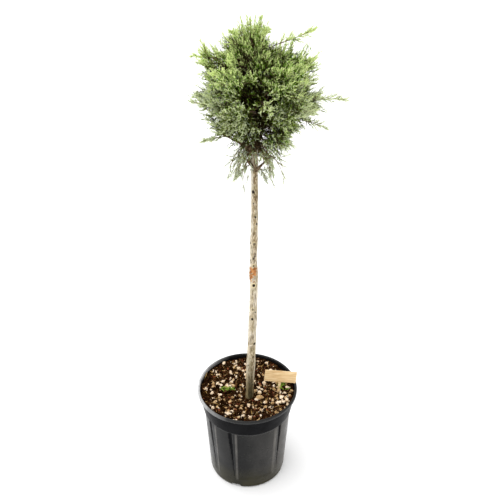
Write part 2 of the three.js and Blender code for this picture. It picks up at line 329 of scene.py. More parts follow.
# %% Pot surface
_, pot_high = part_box("pot")
POT_HEIGHT = pot_high.z
RIM_RADIUS = pot_high.x
COLLAR_FOOT = POT_HEIGHT - 57 * MM
LIP_FOOT = POT_HEIGHT - 8 * MM
UNDER_LIP_RADIUS = RIM_RADIUS - 3.5 * MM
COLLAR_FOOT_RADIUS = RIM_RADIUS - 13 * MM
SHOULDER_RADIUS = RIM_RADIUS - 15.5 * MM
BASE_RADIUS = RIM_RADIUS - 26.6 * MM
WALL = 2.2 * MM
HEEL = 7 * MM
PANEL_DEPTH = 1.1 * MM
PANEL_FOOT = 33 * MM
UNEVENNESS = 0.25 * MM
# Flutes: azimuth under the collar, azimuth at the foot, half width under the collar, half width at
# the foot, in degrees. Ridges: azimuth and half width. The far side repeats the near side.
FLUTE_DEPTH = 2.0 * MM
FLUTE_EDGE = 0.10                   # share of the depth from which a face belongs to the flute
FLUTES = [(212.0, 216.0, 4.0, 0.8), (246.5, 251.0, 4.0, 0.7), (318.5, 318.0, 3.4, 0.8)]
RIDGE_HEIGHT = 0.5 * MM
RIDGES = [(223.0, 2.2), (255.0, 2.2), (311.0, 2.8)]
PANELS = np.radians([285.0, 105.0])
PANEL_HALF_WIDTH = math.radians(27.0)
NOTCH_ANGLES = np.radians([252.0, 342.0, 72.0, 162.0])
NOTCH_HALF_WIDTH = 12 * MM
NOTCH_HEIGHT = 10.5 * MM
NOTCH_REACH = 82 * MM


def arc(centre_r, centre_z, radius, start, stop, count):
    """Profile points on an arc, angles in degrees: (r + R cos a, z + R sin a)."""
    a = np.radians(np.linspace(start, stop, count))
    return np.stack([centre_r + radius * np.cos(a), centre_z + radius * np.sin(a)], -1)


def line(start, stop, count):
    """Profile points on a straight line, without its last point."""
    return np.linspace(start, stop, count, endpoint=False)


def pot_profile():
    """Radius and height from the middle of the underside, up the outside, over the lip and down
    the inside to the middle of the floor."""
    lip = (RIM_RADIUS - UNDER_LIP_RADIUS + WALL) / 2
    lip_centre = RIM_RADIUS - lip
    return np.concatenate([
        line((4 * MM, 0), (BASE_RADIUS - HEEL, 0), 8),
        arc(BASE_RADIUS - HEEL, HEEL, HEEL, -90, 0, 8),
        line((BASE_RADIUS, HEEL + MM), (SHOULDER_RADIUS, COLLAR_FOOT - 2 * MM), 48),
        line((SHOULDER_RADIUS, COLLAR_FOOT - 2 * MM), (COLLAR_FOOT_RADIUS, COLLAR_FOOT), 4),
        line((COLLAR_FOOT_RADIUS, COLLAR_FOOT), (UNDER_LIP_RADIUS, LIP_FOOT - MM), 16),
        line((UNDER_LIP_RADIUS, LIP_FOOT - MM), (RIM_RADIUS - 0.4 * MM, LIP_FOOT), 3),
        line((RIM_RADIUS, LIP_FOOT + 0.6 * MM), (RIM_RADIUS, POT_HEIGHT - lip), 3),
        arc(lip_centre, POT_HEIGHT - lip, lip, 0, 180, 12),
        line((lip_centre - lip, LIP_FOOT), (SHOULDER_RADIUS - WALL, COLLAR_FOOT), 10),
        line((SHOULDER_RADIUS - WALL, COLLAR_FOOT), (BASE_RADIUS - WALL, HEEL + 4 * MM), 10),
        line((BASE_RADIUS - WALL - HEEL, 3 * MM), (4 * MM, 3 * MM), 6),
    ])


def build_pot(materials):
    """Radius = profile - panel depth - flutes + ridges, where a flute is
    depth * rise * smoothstep(1 - turn / half width) and rise goes from 0 at the foot to 1 at the
    collar."""
    profile = pot_profile()
    columns = 420
    angle = np.broadcast_to(np.linspace(0, FULL_TURN, columns, endpoint=False), (len(profile), columns))
    radius = np.repeat(profile[:, :1], columns, 1)
    height = np.repeat(profile[:, 1:], columns, 1)
    outer = np.arange(len(profile))[:, None] < profile[:, 0].argmax()
    wall = outer * smoothstep(-height, -COLLAR_FOOT + 3 * MM, -COLLAR_FOOT + 6 * MM)
    wall = wall * smoothstep(height, PANEL_FOOT - 8 * MM, PANEL_FOOT)
    panel = smoothstep(-nearest_turn(angle, PANELS), -PANEL_HALF_WIDTH, -PANEL_HALF_WIDTH + 0.03)
    panel = panel * smoothstep(height, PANEL_FOOT, PANEL_FOOT + 2 * MM)
    rise = np.clip((height - PANEL_FOOT) / (COLLAR_FOOT - PANEL_FOOT), 0, 1)
    flute, ridge = np.zeros(angle.shape), np.zeros(angle.shape)
    for half_turn in (0.0, 180.0):
        for top, foot, top_width, foot_width in FLUTES:
            azimuth = np.radians(half_turn + foot + (top - foot) * rise)
            half_width = np.radians(foot_width + (top_width - foot_width) * rise)
            cut = smoothstep(1 - np.abs(turn_from(angle, azimuth)) / half_width, 0.0, 0.7)
            flute = np.maximum(flute, cut * (0.25 + 0.75 * rise))
        for azimuth, half_width in RIDGES:
            turn = turn_from(angle, math.radians(half_turn + azimuth)) / math.radians(half_width)
            ridge = np.maximum(ridge, smoothstep(1 - np.abs(turn), 0.0, 0.7))
    flute, ridge, panel = flute * wall, ridge * wall, panel * wall
    radius = radius - PANEL_DEPTH * panel - FLUTE_DEPTH * flute + RIDGE_HEIGHT * ridge
    from_notch = nearest_turn(angle, NOTCH_ANGLES) * BASE_RADIUS
    arch = NOTCH_HEIGHT * smoothstep(-from_notch, -NOTCH_HALF_WIDTH, -NOTCH_HALF_WIDTH + 1.2 * MM)
    lift = np.where(outer, arch, arch + WALL) * (arch > 0.1 * MM)
    height = np.where(radius > NOTCH_REACH, np.maximum(height, lift), height)
    warp = np.stack([np.cos(angle), np.sin(angle), height * 4], -1)
    radius = radius + UNEVENNESS * waves(warp, 1.4, 8, 11) * (height > HEEL)
    points = turned_points(radius, height, angle)
    marks = {"ridge": with_poles(ridge, angle.shape), "flute": with_poles(flute, angle.shape)}
    faces = turned_faces(*angle.shape)
    piece = add_piece("pot_moulding", points, faces, materials[0], "pot_plastic", replaces=["pot"],
                      attributes=marks)
    for material in materials[1:]:
        piece.data.materials.append(material)
    level = profile[faces.min(1) // columns, 1]
    zone = (level > COLLAR_FOOT - 2.1 * MM).astype(np.int32) + (level > LIP_FOOT + 0.1 * MM)
    # Flute faces wear the collar's matt black, as painted shade in their hollows.
    zone[marks["flute"][faces].min(1) > FLUTE_EDGE] = 1
    piece.data.polygons.foreach_set("material_index", zone.astype(np.int32))
    return piece


# %% [markdown]
# One plastic looks different in three zones, so the moulding wears three materials. The wall is
# half matt charcoal, cloudy from handling, with a painted highlight on each rib, a painted warm
# reflection on the right side and an olive splash line near the floor. The collar is the clean matt
# black of the mould; the flutes wear it too and are painted darker, as painted shade in their hollows.
# The lip is glossy, with a painted pale reflection on its -X side. Gloss is a constant of each material.


# %% Pot finish
def pot_plastic(name, specular):
    """The material, tree and shader of one zone of the pot, with the grain that all zones have."""
    material, tree, shader = node_finish(name, 0.32, specular)
    worn = noise_ramp(tree, 40, 6, [(0.3, grey(0.22)), (0.75, grey(0.42))])
    tree.links.new(worn, shader.inputs["Roughness"])
    bump_on(tree, shader, noise_on(tree, 700, 3), 0.00012, 0.5)
    return material, tree, shader


def wall_finish():
    """Cloudy charcoal, a painted reflection on the right, painted highlights on the ribs, painted shade in
    the flutes, olive splashes near the floor, scuffs.
    """
    material, tree, shader = pot_plastic("pot_wall_black", 0.13)
    cloudy = noise_ramp(tree, 14, 7, [(0.3, grey(0.002)), (0.5, grey(0.006)), (0.72, (0.024, 0.023, 0.022))],
                        (1, 1, 0.5))
    # Painted warm reflection: the wall grows lighter towards +X.
    right = ramp_on(tree, axis_share(tree, "X", -0.010, 0.095), [
        (0.0, grey(0.0)), (0.55, grey(0.15)), (1.0, grey(0.70))])
    splashes = noise_ramp(tree, 26, 8, [(0.35, grey(0.35)), (0.7, grey(1.0))])
    scuffs = noise_ramp(tree, 120, 5, [(0.60, grey(0.0)), (0.76, grey(0.35))], (1, 1, 9))
    paint(tree, shader, cloudy, [
        (right, (0.075, 0.067, 0.058)),
        # Painted highlight along each rib.
        (times(tree, attribute_on(tree, "ridge"), noise_on(tree, 30, 5)), (0.165, 0.155, 0.143)),
        # Painted shade in the flutes.
        (attribute_on(tree, "flute"), grey(0.0035)),
        (times(tree, splashes, axis_share(tree, "Z", 0.075, 0.005)), (0.042, 0.037, 0.016)),
        (scuffs, grey(0.07)),
    ])
    return material


def collar_finish():
    """Matt black with faint smudges."""
    material, tree, shader = pot_plastic("pot_collar_black", 0.015)
    smudges = noise_ramp(tree, 30, 6, [(0.35, (0.003, 0.003, 0.0036)), (0.7, (0.008, 0.008, 0.009))])
    paint(tree, shader, smudges)
    return material


def lip_finish():
    """A painted pale reflection at -X, broken into patches, and black at the other side."""
    material, tree, shader = pot_plastic("pot_lip_painted_reflection", 0.26)
    # Painted pale reflection, strongest at -X where the lip faces the light.
    painted_reflection = ramp_on(tree, axis_share(tree, "X", -0.122, -0.045), [
        (0.0, grey(0.62)), (0.5, grey(0.22)), (1.0, grey(0.010))])
    patchy = noise_ramp(tree, 70, 5, [(0.3, grey(0.55)), (0.6, grey(1.0))])
    paint(tree, shader, times(tree, painted_reflection, patchy))
    return material


build_pot([wall_finish(), collar_finish(), lip_finish()])

# %% [markdown]
# ## The potting mix
# The mix is peat and bark with pale pumice. Its skin is a turned surface, dished a little towards
# the stem, with crumbs as relief. The grit that lies on it is real shapes: one twenty or eighty
# faced pebble, repeated with its own size, turn and dents, all as one array.

# %% Surface of the mix
_, mix_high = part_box("potting_mix")
trunk_low, trunk_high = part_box("trunk")
MIX_EDGE_HEIGHT = mix_high.z
MIX_CENTRE_HEIGHT = trunk_low.z
MIX_RADIUS = RIM_RADIUS - 8.0 * MM
MIX_FOOT = 195 * MM
MOUND_HEIGHT = 1.6 * MM
CRUMB_HEIGHTS = (1.5 * MM, 0.5 * MM)


def mix_level(x, y):
    """Height of the mix: flat by the stem and rising to the wall, with low mounds."""
    reach = np.hypot(x, y)
    dish = smoothstep(reach, 0.02, MIX_RADIUS) * (1 + 0.30 * smoothstep(y, 0.02, MIX_RADIUS))
    place = np.stack([x, y, np.zeros_like(x)], -1)
    mounds = MOUND_HEIGHT * waves(place, 0.06, 12, 21)
    return MIX_CENTRE_HEIGHT + (MIX_EDGE_HEIGHT - MIX_CENTRE_HEIGHT) * dish + mounds


def build_mix(material):
    """Height = mix level + large crumbs |waves| + small crumbs, on rings from the wall to the
    stem. Three more rings carry the side down to a flat underside."""
    rows, columns = 104, 300
    angle = np.linspace(0, FULL_TURN, columns, endpoint=False)[None, :]
    reach = np.linspace(MIX_RADIUS, 2 * MM, rows)[:, None]
    x, y = reach * np.cos(angle), reach * np.sin(angle)
    level = mix_level(x, y)
    place = np.stack([x, y, level], -1)
    large, small = CRUMB_HEIGHTS
    crumbs = np.abs(waves(place, 0.009, 24, 22)) * large + waves(place, 0.0035, 24, 23) * small
    side_radius = np.array([0.02, SHOULDER_RADIUS - WALL - MM, MIX_RADIUS - 6 * MM])[:, None]
    side_height = np.array([MIX_FOOT, MIX_FOOT, COLLAR_FOOT + 8 * MM])[:, None]
    radius = np.concatenate([np.repeat(side_radius, columns, 1), np.repeat(reach, columns, 1)])
    height = np.concatenate([np.repeat(side_height, columns, 1), level + crumbs - 1.2 * MM])
    full_angle = np.broadcast_to(angle, radius.shape)
    points = turned_points(radius, height, full_angle)
    return add_piece("mix_surface", points, turned_faces(*radius.shape), material, "potting_mix",
                     replaces=["potting_mix"])


build_mix(mottled("peat_and_fine_bark", 160, [
    (0.36, (0.005, 0.0012, 0.0003)), (0.54, (0.022, 0.0085, 0.0022)), (0.72, (0.110, 0.055, 0.020))],
    0.0012, 1.0, 0.0, 6, 2.625))


# %% Grit and chips on the mix
def ball(splits):
    """A twenty-faced ball, each face split into four `splits` times: points and triangles."""
    golden = (1 + math.sqrt(5)) / 2
    base = [(a, b * golden, 0) for a in (-1, 1) for b in (-1, 1)]
    points = unit(np.array(base + [(z, x, y) for x, y, z in base] + [(y, z, x) for x, y, z in base], float))
    near = np.argwhere(np.linalg.norm(points[:, None] - points[None], axis=-1) < 1.1)
    touching = {(a, b) for a, b in near if a != b}
    faces = [(a, b, c) for a in range(12) for b in range(a + 1, 12) for c in range(b + 1, 12)
             if {(a, b), (b, c), (a, c)} <= touching]
    faces = np.array(faces)
    for _ in range(splits):
        a, b, c = (points[faces[:, k]] for k in range(3))
        corners = np.concatenate([a, b, c, unit(a + b), unit(b + c), unit(c + a)])
        n = np.arange(len(faces))
        ia, ib, ic, iab, ibc, ica = (n + k * len(faces) for k in range(6))
        split = np.concatenate([np.stack(t, -1) for t in
                                [(ia, iab, ica), (ib, ibc, iab), (ic, ica, ibc), (iab, ibc, ica)]])
        points, back = np.unique(corners.round(6), axis=0, return_inverse=True)
        faces = back.reshape(-1)[split]
    a, b, c = (points[faces[:, k]] for k in range(3))
    inward = (np.cross(b - a, c - a) * (a + b + c)).sum(-1) < 0
    faces[inward] = faces[inward][:, ::-1]
    return points, faces


def random_turns(rng, count):
    """Turn matrices with axes in random directions."""
    turns, _ = np.linalg.qr(rng.normal(size=(count, 3, 3)))
    turns[:, :, 0] *= np.sign(np.linalg.det(turns))[:, None]
    return turns


def strewn(seed, count, splits, size_range, flatness, dents, sink, lie_flat):
    """Pebbles strewn over the mix: ball * sizes * (1 + dents), turned, then set down on the
    surface with the share `sink` of each below it."""
    rng = np.random.default_rng(seed)
    points, faces = ball(splits)
    reach = (MIX_RADIUS - 4 * MM) * np.sqrt(rng.uniform(0.012, 1, count))
    angle = rng.uniform(0, FULL_TURN, count)
    x, y = reach * np.cos(angle), reach * np.sin(angle)
    smallest, largest = (end * MM for end in size_range)
    size = smallest + (largest - smallest) * rng.uniform(0, 1, count) ** 2.2
    shape = rng.uniform(0.75, 1.0, (count, 1, 3)) * np.array(flatness) * size[:, None, None]
    uneven = 1 + dents * rng.uniform(-1, 1, (count, len(points), 1))
    turns = random_turns(rng, count)
    spin = rng.uniform(0, FULL_TURN, count)
    flat = np.zeros((count, 3, 3))
    flat[:, 0, 0], flat[:, 0, 1] = np.cos(spin), -np.sin(spin)
    flat[:, 1, 0], flat[:, 1, 1] = np.sin(spin), np.cos(spin)
    flat[:, 2, 2] = 1
    turns = np.where(rng.uniform(size=count)[:, None, None] < lie_flat, flat, turns)
    grains = np.einsum("nij,nvj->nvi", turns, points[None] * shape * uneven)
    thickness = grains[:, :, 2].max(1)
    level = mix_level(x, y) + thickness * (1 - 2 * sink)
    grains += np.stack([x, y, level], -1)[:, None]
    stem_x, stem_y = trunk_foot[:2]
    clear = np.hypot(x - stem_x, y - stem_y) > trunk_foot_radius + size * 0.7
    grains = grains[clear]
    steps = np.arange(len(grains))[:, None, None] * len(points)
    return grains.reshape(-1, 3), (faces[None] + steps).reshape(-1, 3)


def node_points(name):
    """The points and triangles of a CAD node as arrays."""
    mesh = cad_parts[name].data
    points = np.empty(len(mesh.vertices) * 3, np.float32)
    mesh.vertices.foreach_get("co", points)
    mesh.calc_loop_triangles()
    triangles = np.empty(len(mesh.loop_triangles) * 3, np.int32)
    mesh.loop_triangles.foreach_get("vertices", triangles)
    return points.reshape(-1, 3).astype(float), triangles.reshape(-1, 3)


trunk_points, _ = node_points("trunk")
foot_ring = trunk_points[trunk_points[:, 2] < trunk_low.z + MM]
trunk_foot = (foot_ring.min(0) + foot_ring.max(0)) / 2
trunk_foot_radius = np.ptp(foot_ring[:, 0]) / 2
print("stem foot", trunk_foot.round(4), "radius", round(trunk_foot_radius, 4))

PALE = [(0.25, (0.42, 0.27, 0.13)), (0.45, (0.80, 0.62, 0.42)), (0.7, (0.92, 0.80, 0.64))]
STAINED = [(0.25, (0.20, 0.10, 0.035)), (0.5, (0.52, 0.34, 0.16)), (0.75, (0.78, 0.60, 0.38))]
RED = [(0.3, (0.020, 0.006, 0.003)), (0.5, (0.090, 0.026, 0.011)), (0.72, (0.26, 0.090, 0.038))]
DARK = [(0.3, (0.004, 0.0014, 0.0005)), (0.55, (0.024, 0.009, 0.003)), (0.75, (0.13, 0.066, 0.025))]
STRAW = [(0.3, (0.12, 0.065, 0.018)), (0.5, (0.36, 0.22, 0.070)), (0.75, (0.60, 0.42, 0.17))]
pumice = mottled("pumice", 90, PALE, 0.0006)
pumice_stained = mottled("pumice_stained", 90, STAINED, 0.0006)
chip_red = mottled("pine_bark_red", 70, RED, 0.0008)
chip_dark = mottled("pine_bark_dark", 80, DARK, 0.0008)
straw = mottled("straw_and_fibre", 80, STRAW, 0.0004)

# name: material, seed, count, splits of the ball, half sizes from and to in mm, shape, dents, share
# below the surface, share that lies flat
GRIT = {
    "pumice_grit": (pumice, 31, 210, 1, (1.4, 7.2), (1, 0.74, 0.60), 0.38, 0.30, 0.3),
    "pumice_grit_stained": (pumice_stained, 32, 210, 1, (1.2, 6.4), (1, 0.72, 0.6), 0.38, 0.35, 0.3),
    "pumice_fines": (pumice_stained, 33, 700, 0, (0.5, 1.8), (1, 0.7, 0.6), 0.25, 0.3, 0.0),
    "straw_bits": (straw, 36, 420, 0, (1.6, 6.5), (1, 0.2, 0.14), 0.2, 0.2, 0.8),
    "bark_chips_red": (chip_red, 34, 300, 0, (2.2, 8.5), (1, 0.5, 0.2), 0.25, 0.25, 0.75),
    "bark_chips_dark": (chip_dark, 35, 1300, 0, (2.0, 8.5), (1, 0.55, 0.3), 0.28, 0.3, 0.55),
}
for name, (material, *rule) in GRIT.items():
    add_piece(name, *strewn(*rule), material, "potting_mix", smooth=False)

# %% [markdown]
# ## The stem
# A juniper trained as a standard has a slim bare stem. Side shoots were rubbed or cut off as it
# grew, and each left a small knot or a dark scar. The bark is smooth, pale and finely cracked
# along the stem, olive near the mix, with one patch where it peeled to the orange layer below.
# The stem is a pipe of rings along the CAD stem's own centre line, and the marks are bell curves
# added to its radius. The same bell curves are kept as attributes that the finish reads.


# %% Centre line of the stem
def stem_rings():
    """Height, centre and radius of each ring of the CAD stem, found as clusters in height."""
    order = trunk_points[np.argsort(trunk_points[:, 2])]
    breaks = np.flatnonzero(np.diff(order[:, 2]) > 8 * MM) + 1
    rings = [ring for ring in np.split(order, breaks) if len(ring) > 5]
    centres = np.array([(ring.min(0) + ring.max(0)) / 2 for ring in rings])
    radii = np.array([np.hypot(*(ring[:, :2] - centre[:2]).T).max()
                      for ring, centre in zip(rings, centres)])
    return centres, radii


ring_centres, ring_radii = stem_rings()
STEM_TIP = trunk_high.z


def stem_centre(height):
    """The stem's centre at a height, between the CAD rings."""
    x = np.interp(height, ring_centres[:, 2], ring_centres[:, 0])
    y = np.interp(height, ring_centres[:, 2], ring_centres[:, 1])
    return np.stack([x, y, height], -1)


def stem_radius(height):
    """The CAD stem's radius at a height."""
    return np.interp(height, ring_centres[:, 2], ring_radii)


print("stem rings", len(ring_centres), "radii", ring_radii.round(4)[[0, len(ring_radii) // 2, -1]])

# %% Bark relief and marks
# height, azimuth in degrees, size, swelling and depth in mm, and paleness of the rim of the scars
# that show most
CUT_SCARS = [
    (0.799, 246, 3.2, 0.9, 1.5, 0.0),
    (0.739, 284, 2.2, 0.7, 0.8, 0.0),
    (0.722, 302, 2.2, 0.9, 0.8, 0.0),
    (0.673, 272, 3.2, 1.0, 0.5, 0.45),
    (0.641, 288, 1.9, 0.6, 0.7, 0.0),
    (0.617, 272, 2.4, 1.1, 0.6, 0.8),
    (0.566, 269, 3.4, 1.3, 1.4, 0.8),
    (0.500, 263, 2.8, 1.0, 0.5, 0.5),
    (0.491, 300, 2.0, 0.6, 0.8, 0.0),
    (0.473, 261, 2.9, 0.8, 1.5, 0.15),
    (0.400, 308, 3.0, 1.1, 1.5, 0.0),
    (0.655, 92, 3.0, 1.0, 1.3, 0.4),
    (0.530, 120, 2.6, 0.9, 1.0, 0.0),
    (0.430, 60, 2.8, 0.9, 1.2, 0.2),
]
PEEL_FOOT, PEEL_TOP = 0.572, 0.613
PEEL_AZIMUTH = math.radians(270)
PEEL_LEFT, PEEL_RIGHT_FOOT, PEEL_RIGHT_TOP = np.radians([-75.0, -35.0, 95.0])
STREAK_AZIMUTHS = np.radians([279, 40, 150])
STREAK_HEIGHTS = [0.25, 0.38, 0.44, 0.55, 0.63, 0.70, 0.90]
STREAK_SHARES = [1.0, 0.9, 0.35, 0.40, 0.75, 1.0, 1.0]
CRACK_DEPTH, PLATE_HEIGHT, BEND_SIZE, SKIN_INSET = np.array([0.14, 0.18, 0.35, 0.25]) * MM
PEEL_SWELLING, PEEL_DEPTH = 1.1 * MM, 0.3 * MM
FOOT_SLIMMING = 0.22                # share by which the stem is slimmer at the mix
FOOT_LOW, FOOT_HIGH = 0.250, 0.345  # heights between which that share fades out
SCAR_COUNT = 70


def scar_table(rng):
    """The chosen scars and many small seeded ones, as columns."""
    low = np.array([0.25, 0.0, 0.9 * MM, 0.2 * MM, 0.3 * MM])
    high = np.array([0.93, 360.0, 2.1 * MM, 0.6 * MM, 1.0 * MM])
    seeded = rng.uniform(size=(5, SCAR_COUNT)).T * (high - low) + low
    seeded = np.append(seeded, np.zeros((SCAR_COUNT, 1)), 1)
    table = np.concatenate([np.array(CUT_SCARS) * [1, 1, MM, MM, MM, 1], seeded])
    table[:, 1] = np.radians(table[:, 1])
    return table


def build_stem(material):
    """Radius = CAD radius + cracks + plates + bends + knots, where a knot is
    swelling * exp(-d^2 / 2.2) - depth * exp(-4 d^2) and d is the distance from it in its own size.
    The peeled patch is a window in height and turn, both made ragged by waves. The grey streaks
    follow a few azimuths that wander with height."""
    rng = np.random.default_rng(41)
    columns, rows = 64, 640
    height = np.linspace(trunk_low.z - 6 * MM, STEM_TIP, rows)[:, None]
    angle = np.linspace(0, FULL_TURN, columns, endpoint=False)[None, :]
    base = stem_radius(height[:, 0])[:, None]
    round_place = np.stack(np.broadcast_arrays(base * np.cos(angle), base * np.sin(angle), height), -1)
    along = round_place * np.array([1, 1, 0.22])
    cracks = -np.abs(waves(along, 0.0042, 26, 42))
    plates = waves(round_place * np.array([1, 1, 0.5]), 0.011, 20, 43)
    bends = waves(round_place * np.array([0, 0, 1.0]), 0.05, 10, 44)
    relief = CRACK_DEPTH * cracks + PLATE_HEIGHT * plates + BEND_SIZE * bends - SKIN_INSET
    scar, ring = np.zeros(relief.shape), np.zeros(relief.shape)
    for z, azimuth, size, swelling, depth, rim in scar_table(rng):
        around = turn_from(angle, azimuth) * base
        d2 = (around**2 + (0.8 * (height - z)) ** 2) / size**2
        relief = relief + swelling * np.exp(-d2 / 2.2) - depth * np.exp(-4 * d2)
        scar = np.maximum(scar, np.clip(1.3 * depth / MM, 0, 1) * smoothstep(np.exp(-d2), 0.22, 0.55))
        ring = np.maximum(ring, rim * np.exp(-(((np.sqrt(d2) - 1.2) / 0.42) ** 2)))
    ragged = 3.5 * MM * waves(round_place, 0.009, 12, 45)
    rise = (height + ragged - PEEL_FOOT) / (PEEL_TOP - PEEL_FOOT)
    turn = turn_from(angle, PEEL_AZIMUTH) + 0.55 * waves(round_place, 0.006, 12, 46)
    peel = smoothstep(rise, 0.0, 0.10) * smoothstep(-rise, -1.0, -0.90)
    peel = peel * smoothstep(turn, PEEL_LEFT, PEEL_LEFT + 0.2)
    peel = peel * smoothstep(PEEL_RIGHT_FOOT + (PEEL_RIGHT_TOP - PEEL_RIGHT_FOOT) * rise - turn, 0.0, 0.2)
    wander = 0.15 * waves(round_place * np.array([0, 0, 1.0]), 0.045, 8, 47)
    facing = np.cos(angle[..., None] - STREAK_AZIMUTHS - wander[..., None]).max(-1)
    streak = smoothstep(facing + 0.10 * waves(along, 0.006, 16, 48), 0.62, 0.97)
    streak = streak * np.interp(height, STREAK_HEIGHTS, STREAK_SHARES)
    swell = PEEL_SWELLING * np.exp(-(((height - (PEEL_FOOT + PEEL_TOP) / 2) / 0.016) ** 2))
    taper_in = smoothstep(-height, -STEM_TIP, -STEM_TIP + 10 * MM)
    base = base * (1 - FOOT_SLIMMING * smoothstep(-height, -FOOT_HIGH, -FOOT_LOW))
    marked = (relief + swell - PEEL_DEPTH * peel) * np.minimum(base / (6 * MM), 1)
    radius = (base + marked) * (0.3 + 0.7 * taper_in)
    centre = stem_centre(height[:, 0])[:, None]
    skin = np.stack([np.cos(angle) * radius, np.sin(angle) * radius, np.zeros_like(radius)], -1)
    grid = centre + skin
    points = np.concatenate([grid.reshape(-1, 3), centre[0], centre[-1] + UP * MM])
    hollow = np.clip(-cracks - 0.6, 0, 1)
    marks = {"scar": scar, "peel": peel, "hollow": hollow, "ring": ring, "streak": streak}
    marks = {name: with_poles(values, radius.shape) for name, values in marks.items()}
    return add_piece("stem_bark", points, turned_faces(rows, columns), material, "stem_bark",
                     replaces=["trunk"], attributes=marks)


def bark_finish():
    """Pale bark with speckled streaks and olive clouds, mossy at the foot and brown in the head.
    Over it lie specks, cracks, rings round the knots, the orange peel and the dark scars."""
    material, tree, shader = node_finish("juniper_stem_bark", 0.8, 0.3)
    pale = noise_ramp(tree, 130, 8, [
        (0.27, (0.34, 0.25, 0.14)), (0.40, (0.59, 0.50, 0.35)), (0.56, (0.76, 0.69, 0.56))], (1, 1, 0.22))
    speckle = noise_ramp(tree, 320, 6, [
        (0.36, (0.060, 0.036, 0.014)), (0.50, (0.27, 0.19, 0.095)), (0.66, (0.74, 0.64, 0.46))], (1, 1, 0.4))
    olive = noise_ramp(tree, 45, 8, [(0.50, grey(0.0)), (0.68, grey(0.55))])
    mossy = blend_on(tree, attribute_on(tree, "streak"), (0.27, 0.21, 0.105), (0.050, 0.040, 0.014))
    specks = noise_ramp(tree, 480, 3, [(0.62, grey(0.0)), (0.70, grey(0.8))])
    orange = noise_ramp(tree, 190, 6, [(0.36, (0.20, 0.065, 0.012)), (0.64, (0.62, 0.28, 0.095))])
    paint(tree, shader, pale, [
        (attribute_on(tree, "streak"), speckle),
        (olive, (0.32, 0.28, 0.14)),
        (axis_share(tree, "Z", 0.37, 0.26), mossy),
        (axis_share(tree, "Z", 0.890, 0.935), (0.085, 0.062, 0.034)),
        (specks, (0.070, 0.042, 0.018)),
        (attribute_on(tree, "hollow"), (0.16, 0.115, 0.058)),
        (attribute_on(tree, "ring"), (0.80, 0.66, 0.38)),
        (attribute_on(tree, "peel"), orange),
        (attribute_on(tree, "scar"), (0.014, 0.007, 0.004)),
    ])
    bump_on(tree, shader, noise_on(tree, 520, 6, (1, 1, 0.4)), 0.0004)
    return material


build_stem(bark_finish())

# %% [markdown]
# ## Growing the head
# A juniper's head is built by one rule, used again and again: a shoot leaves its parent at an
# angle, turns a little towards the light, and is a good deal shorter than the parent. Boughs
# carry branches, branches carry sprays, sprays carry branchlets, and branchlets carry the cords
# of scale leaves. Each order is one array of paths (shoot, step, xyz), grown from the order
# before it in a single step. The CAD masses say where the branches end, so the head keeps its
# outline and its gaps. The alternative, scattering copies of one spray over a ball, would float
# free of the wood and look the same from every side.


# %% Paths and the branching rule
def bent_paths(start, control, end, steps):
    """Quadratic curves: (1-t)^2 start + 2 t (1-t) control + t^2 end."""
    t = np.linspace(0, 1, steps)[None, :, None]
    return (1 - t) ** 2 * start[:, None] + 2 * t * (1 - t) * control[:, None] + t**2 * end[:, None]


def at_share(paths, owner, share):
    """The point and the direction at a share (0 to 1) of the way along each owner's path."""
    last = paths.shape[1] - 1
    place = np.clip(share, 0, 0.9999) * last
    step = place.astype(int)
    part = (place - step)[:, None]
    near, far = paths[owner, step], paths[owner, step + 1]
    return near + (far - near) * part, unit(far - near)


def side_directions(forward, lean, roll):
    """Directions that lean away from `forward` by an angle, on the side that `roll` gives."""
    across, over = across_and_over(forward)
    side = np.cos(roll)[:, None] * across + np.sin(roll)[:, None] * over
    return np.cos(lean)[:, None] * forward + np.sin(lean)[:, None] * side


def tubes(paths, radii, sides):
    """Twigs: rings of `sides` points carried along each path, drawn to a point at both ends.
    point(i, j) = path(i) + radius(i) (cos a(j) across + sin a(j) over)."""
    count, steps, _ = paths.shape
    forward = unit(np.gradient(paths, axis=1))
    across, over = across_and_over(forward, forward[:, :1])
    a = np.arange(sides) * FULL_TURN / sides
    ring = across[:, 1:-1, None] * np.cos(a)[:, None] + over[:, 1:-1, None] * np.sin(a)[:, None]
    rings = paths[:, 1:-1, None] + radii[:, 1:-1, None, None] * ring
    points = np.concatenate([rings.reshape(count, -1, 3), paths[:, :1], paths[:, -1:]], 1)
    faces = turned_faces(steps - 2, sides)
    step = np.arange(count)[:, None, None] * points.shape[1]
    return points.reshape(-1, 3), (faces[None] + step).reshape(-1, 3)


# %% Where the boughs go
foliage_names = sorted(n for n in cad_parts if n.startswith("foliage_"))
shoot_names = sorted(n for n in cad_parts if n.startswith("shoot_"))
bough_names = sorted(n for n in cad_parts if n.startswith("bough_"))
BOUGH_STEPS = 9


def volume_centre(name):
    """The centre of a node's volume, from the signed volumes of its triangles."""
    points, triangles = node_points(name)
    a, b, c = (points[triangles[:, k]] for k in range(3))
    parts = (a * np.cross(b, c)).sum(-1) / 6
    return ((a + b + c) / 4 * parts[:, None]).sum(0) / parts.sum()


def bough_paths():
    """From the stem's centre, through the CAD bough, to the middle of its mass of foliage."""
    starts, controls, ends = [], [], []
    for name in bough_names:
        low, high = (np.array(corner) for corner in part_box(name))
        starts.append(stem_centre(low[2] - 6 * MM))
        controls.append(np.array([*(low + high)[:2] / 2, (low + high)[2] / 2 - 2 * MM]))
        ends.append(volume_centre(name.replace("bough", "foliage")))
    return bent_paths(np.array(starts), np.array(controls), np.array(ends), BOUGH_STEPS)


def open_bough():
    """One bare bough low on the left, which shows through the gap in front of it."""
    start = stem_centre(np.array([0.884]))
    end = start + np.array([-0.066, -0.022, 0.052])
    return bent_paths(start, start + np.array([-0.026, -0.012, 0.030]), end, BOUGH_STEPS)


boughs = np.concatenate([bough_paths(), open_bough()])
print("boughs", len(boughs), "foliage masses", len(foliage_names), "long shoots", len(shoot_names))


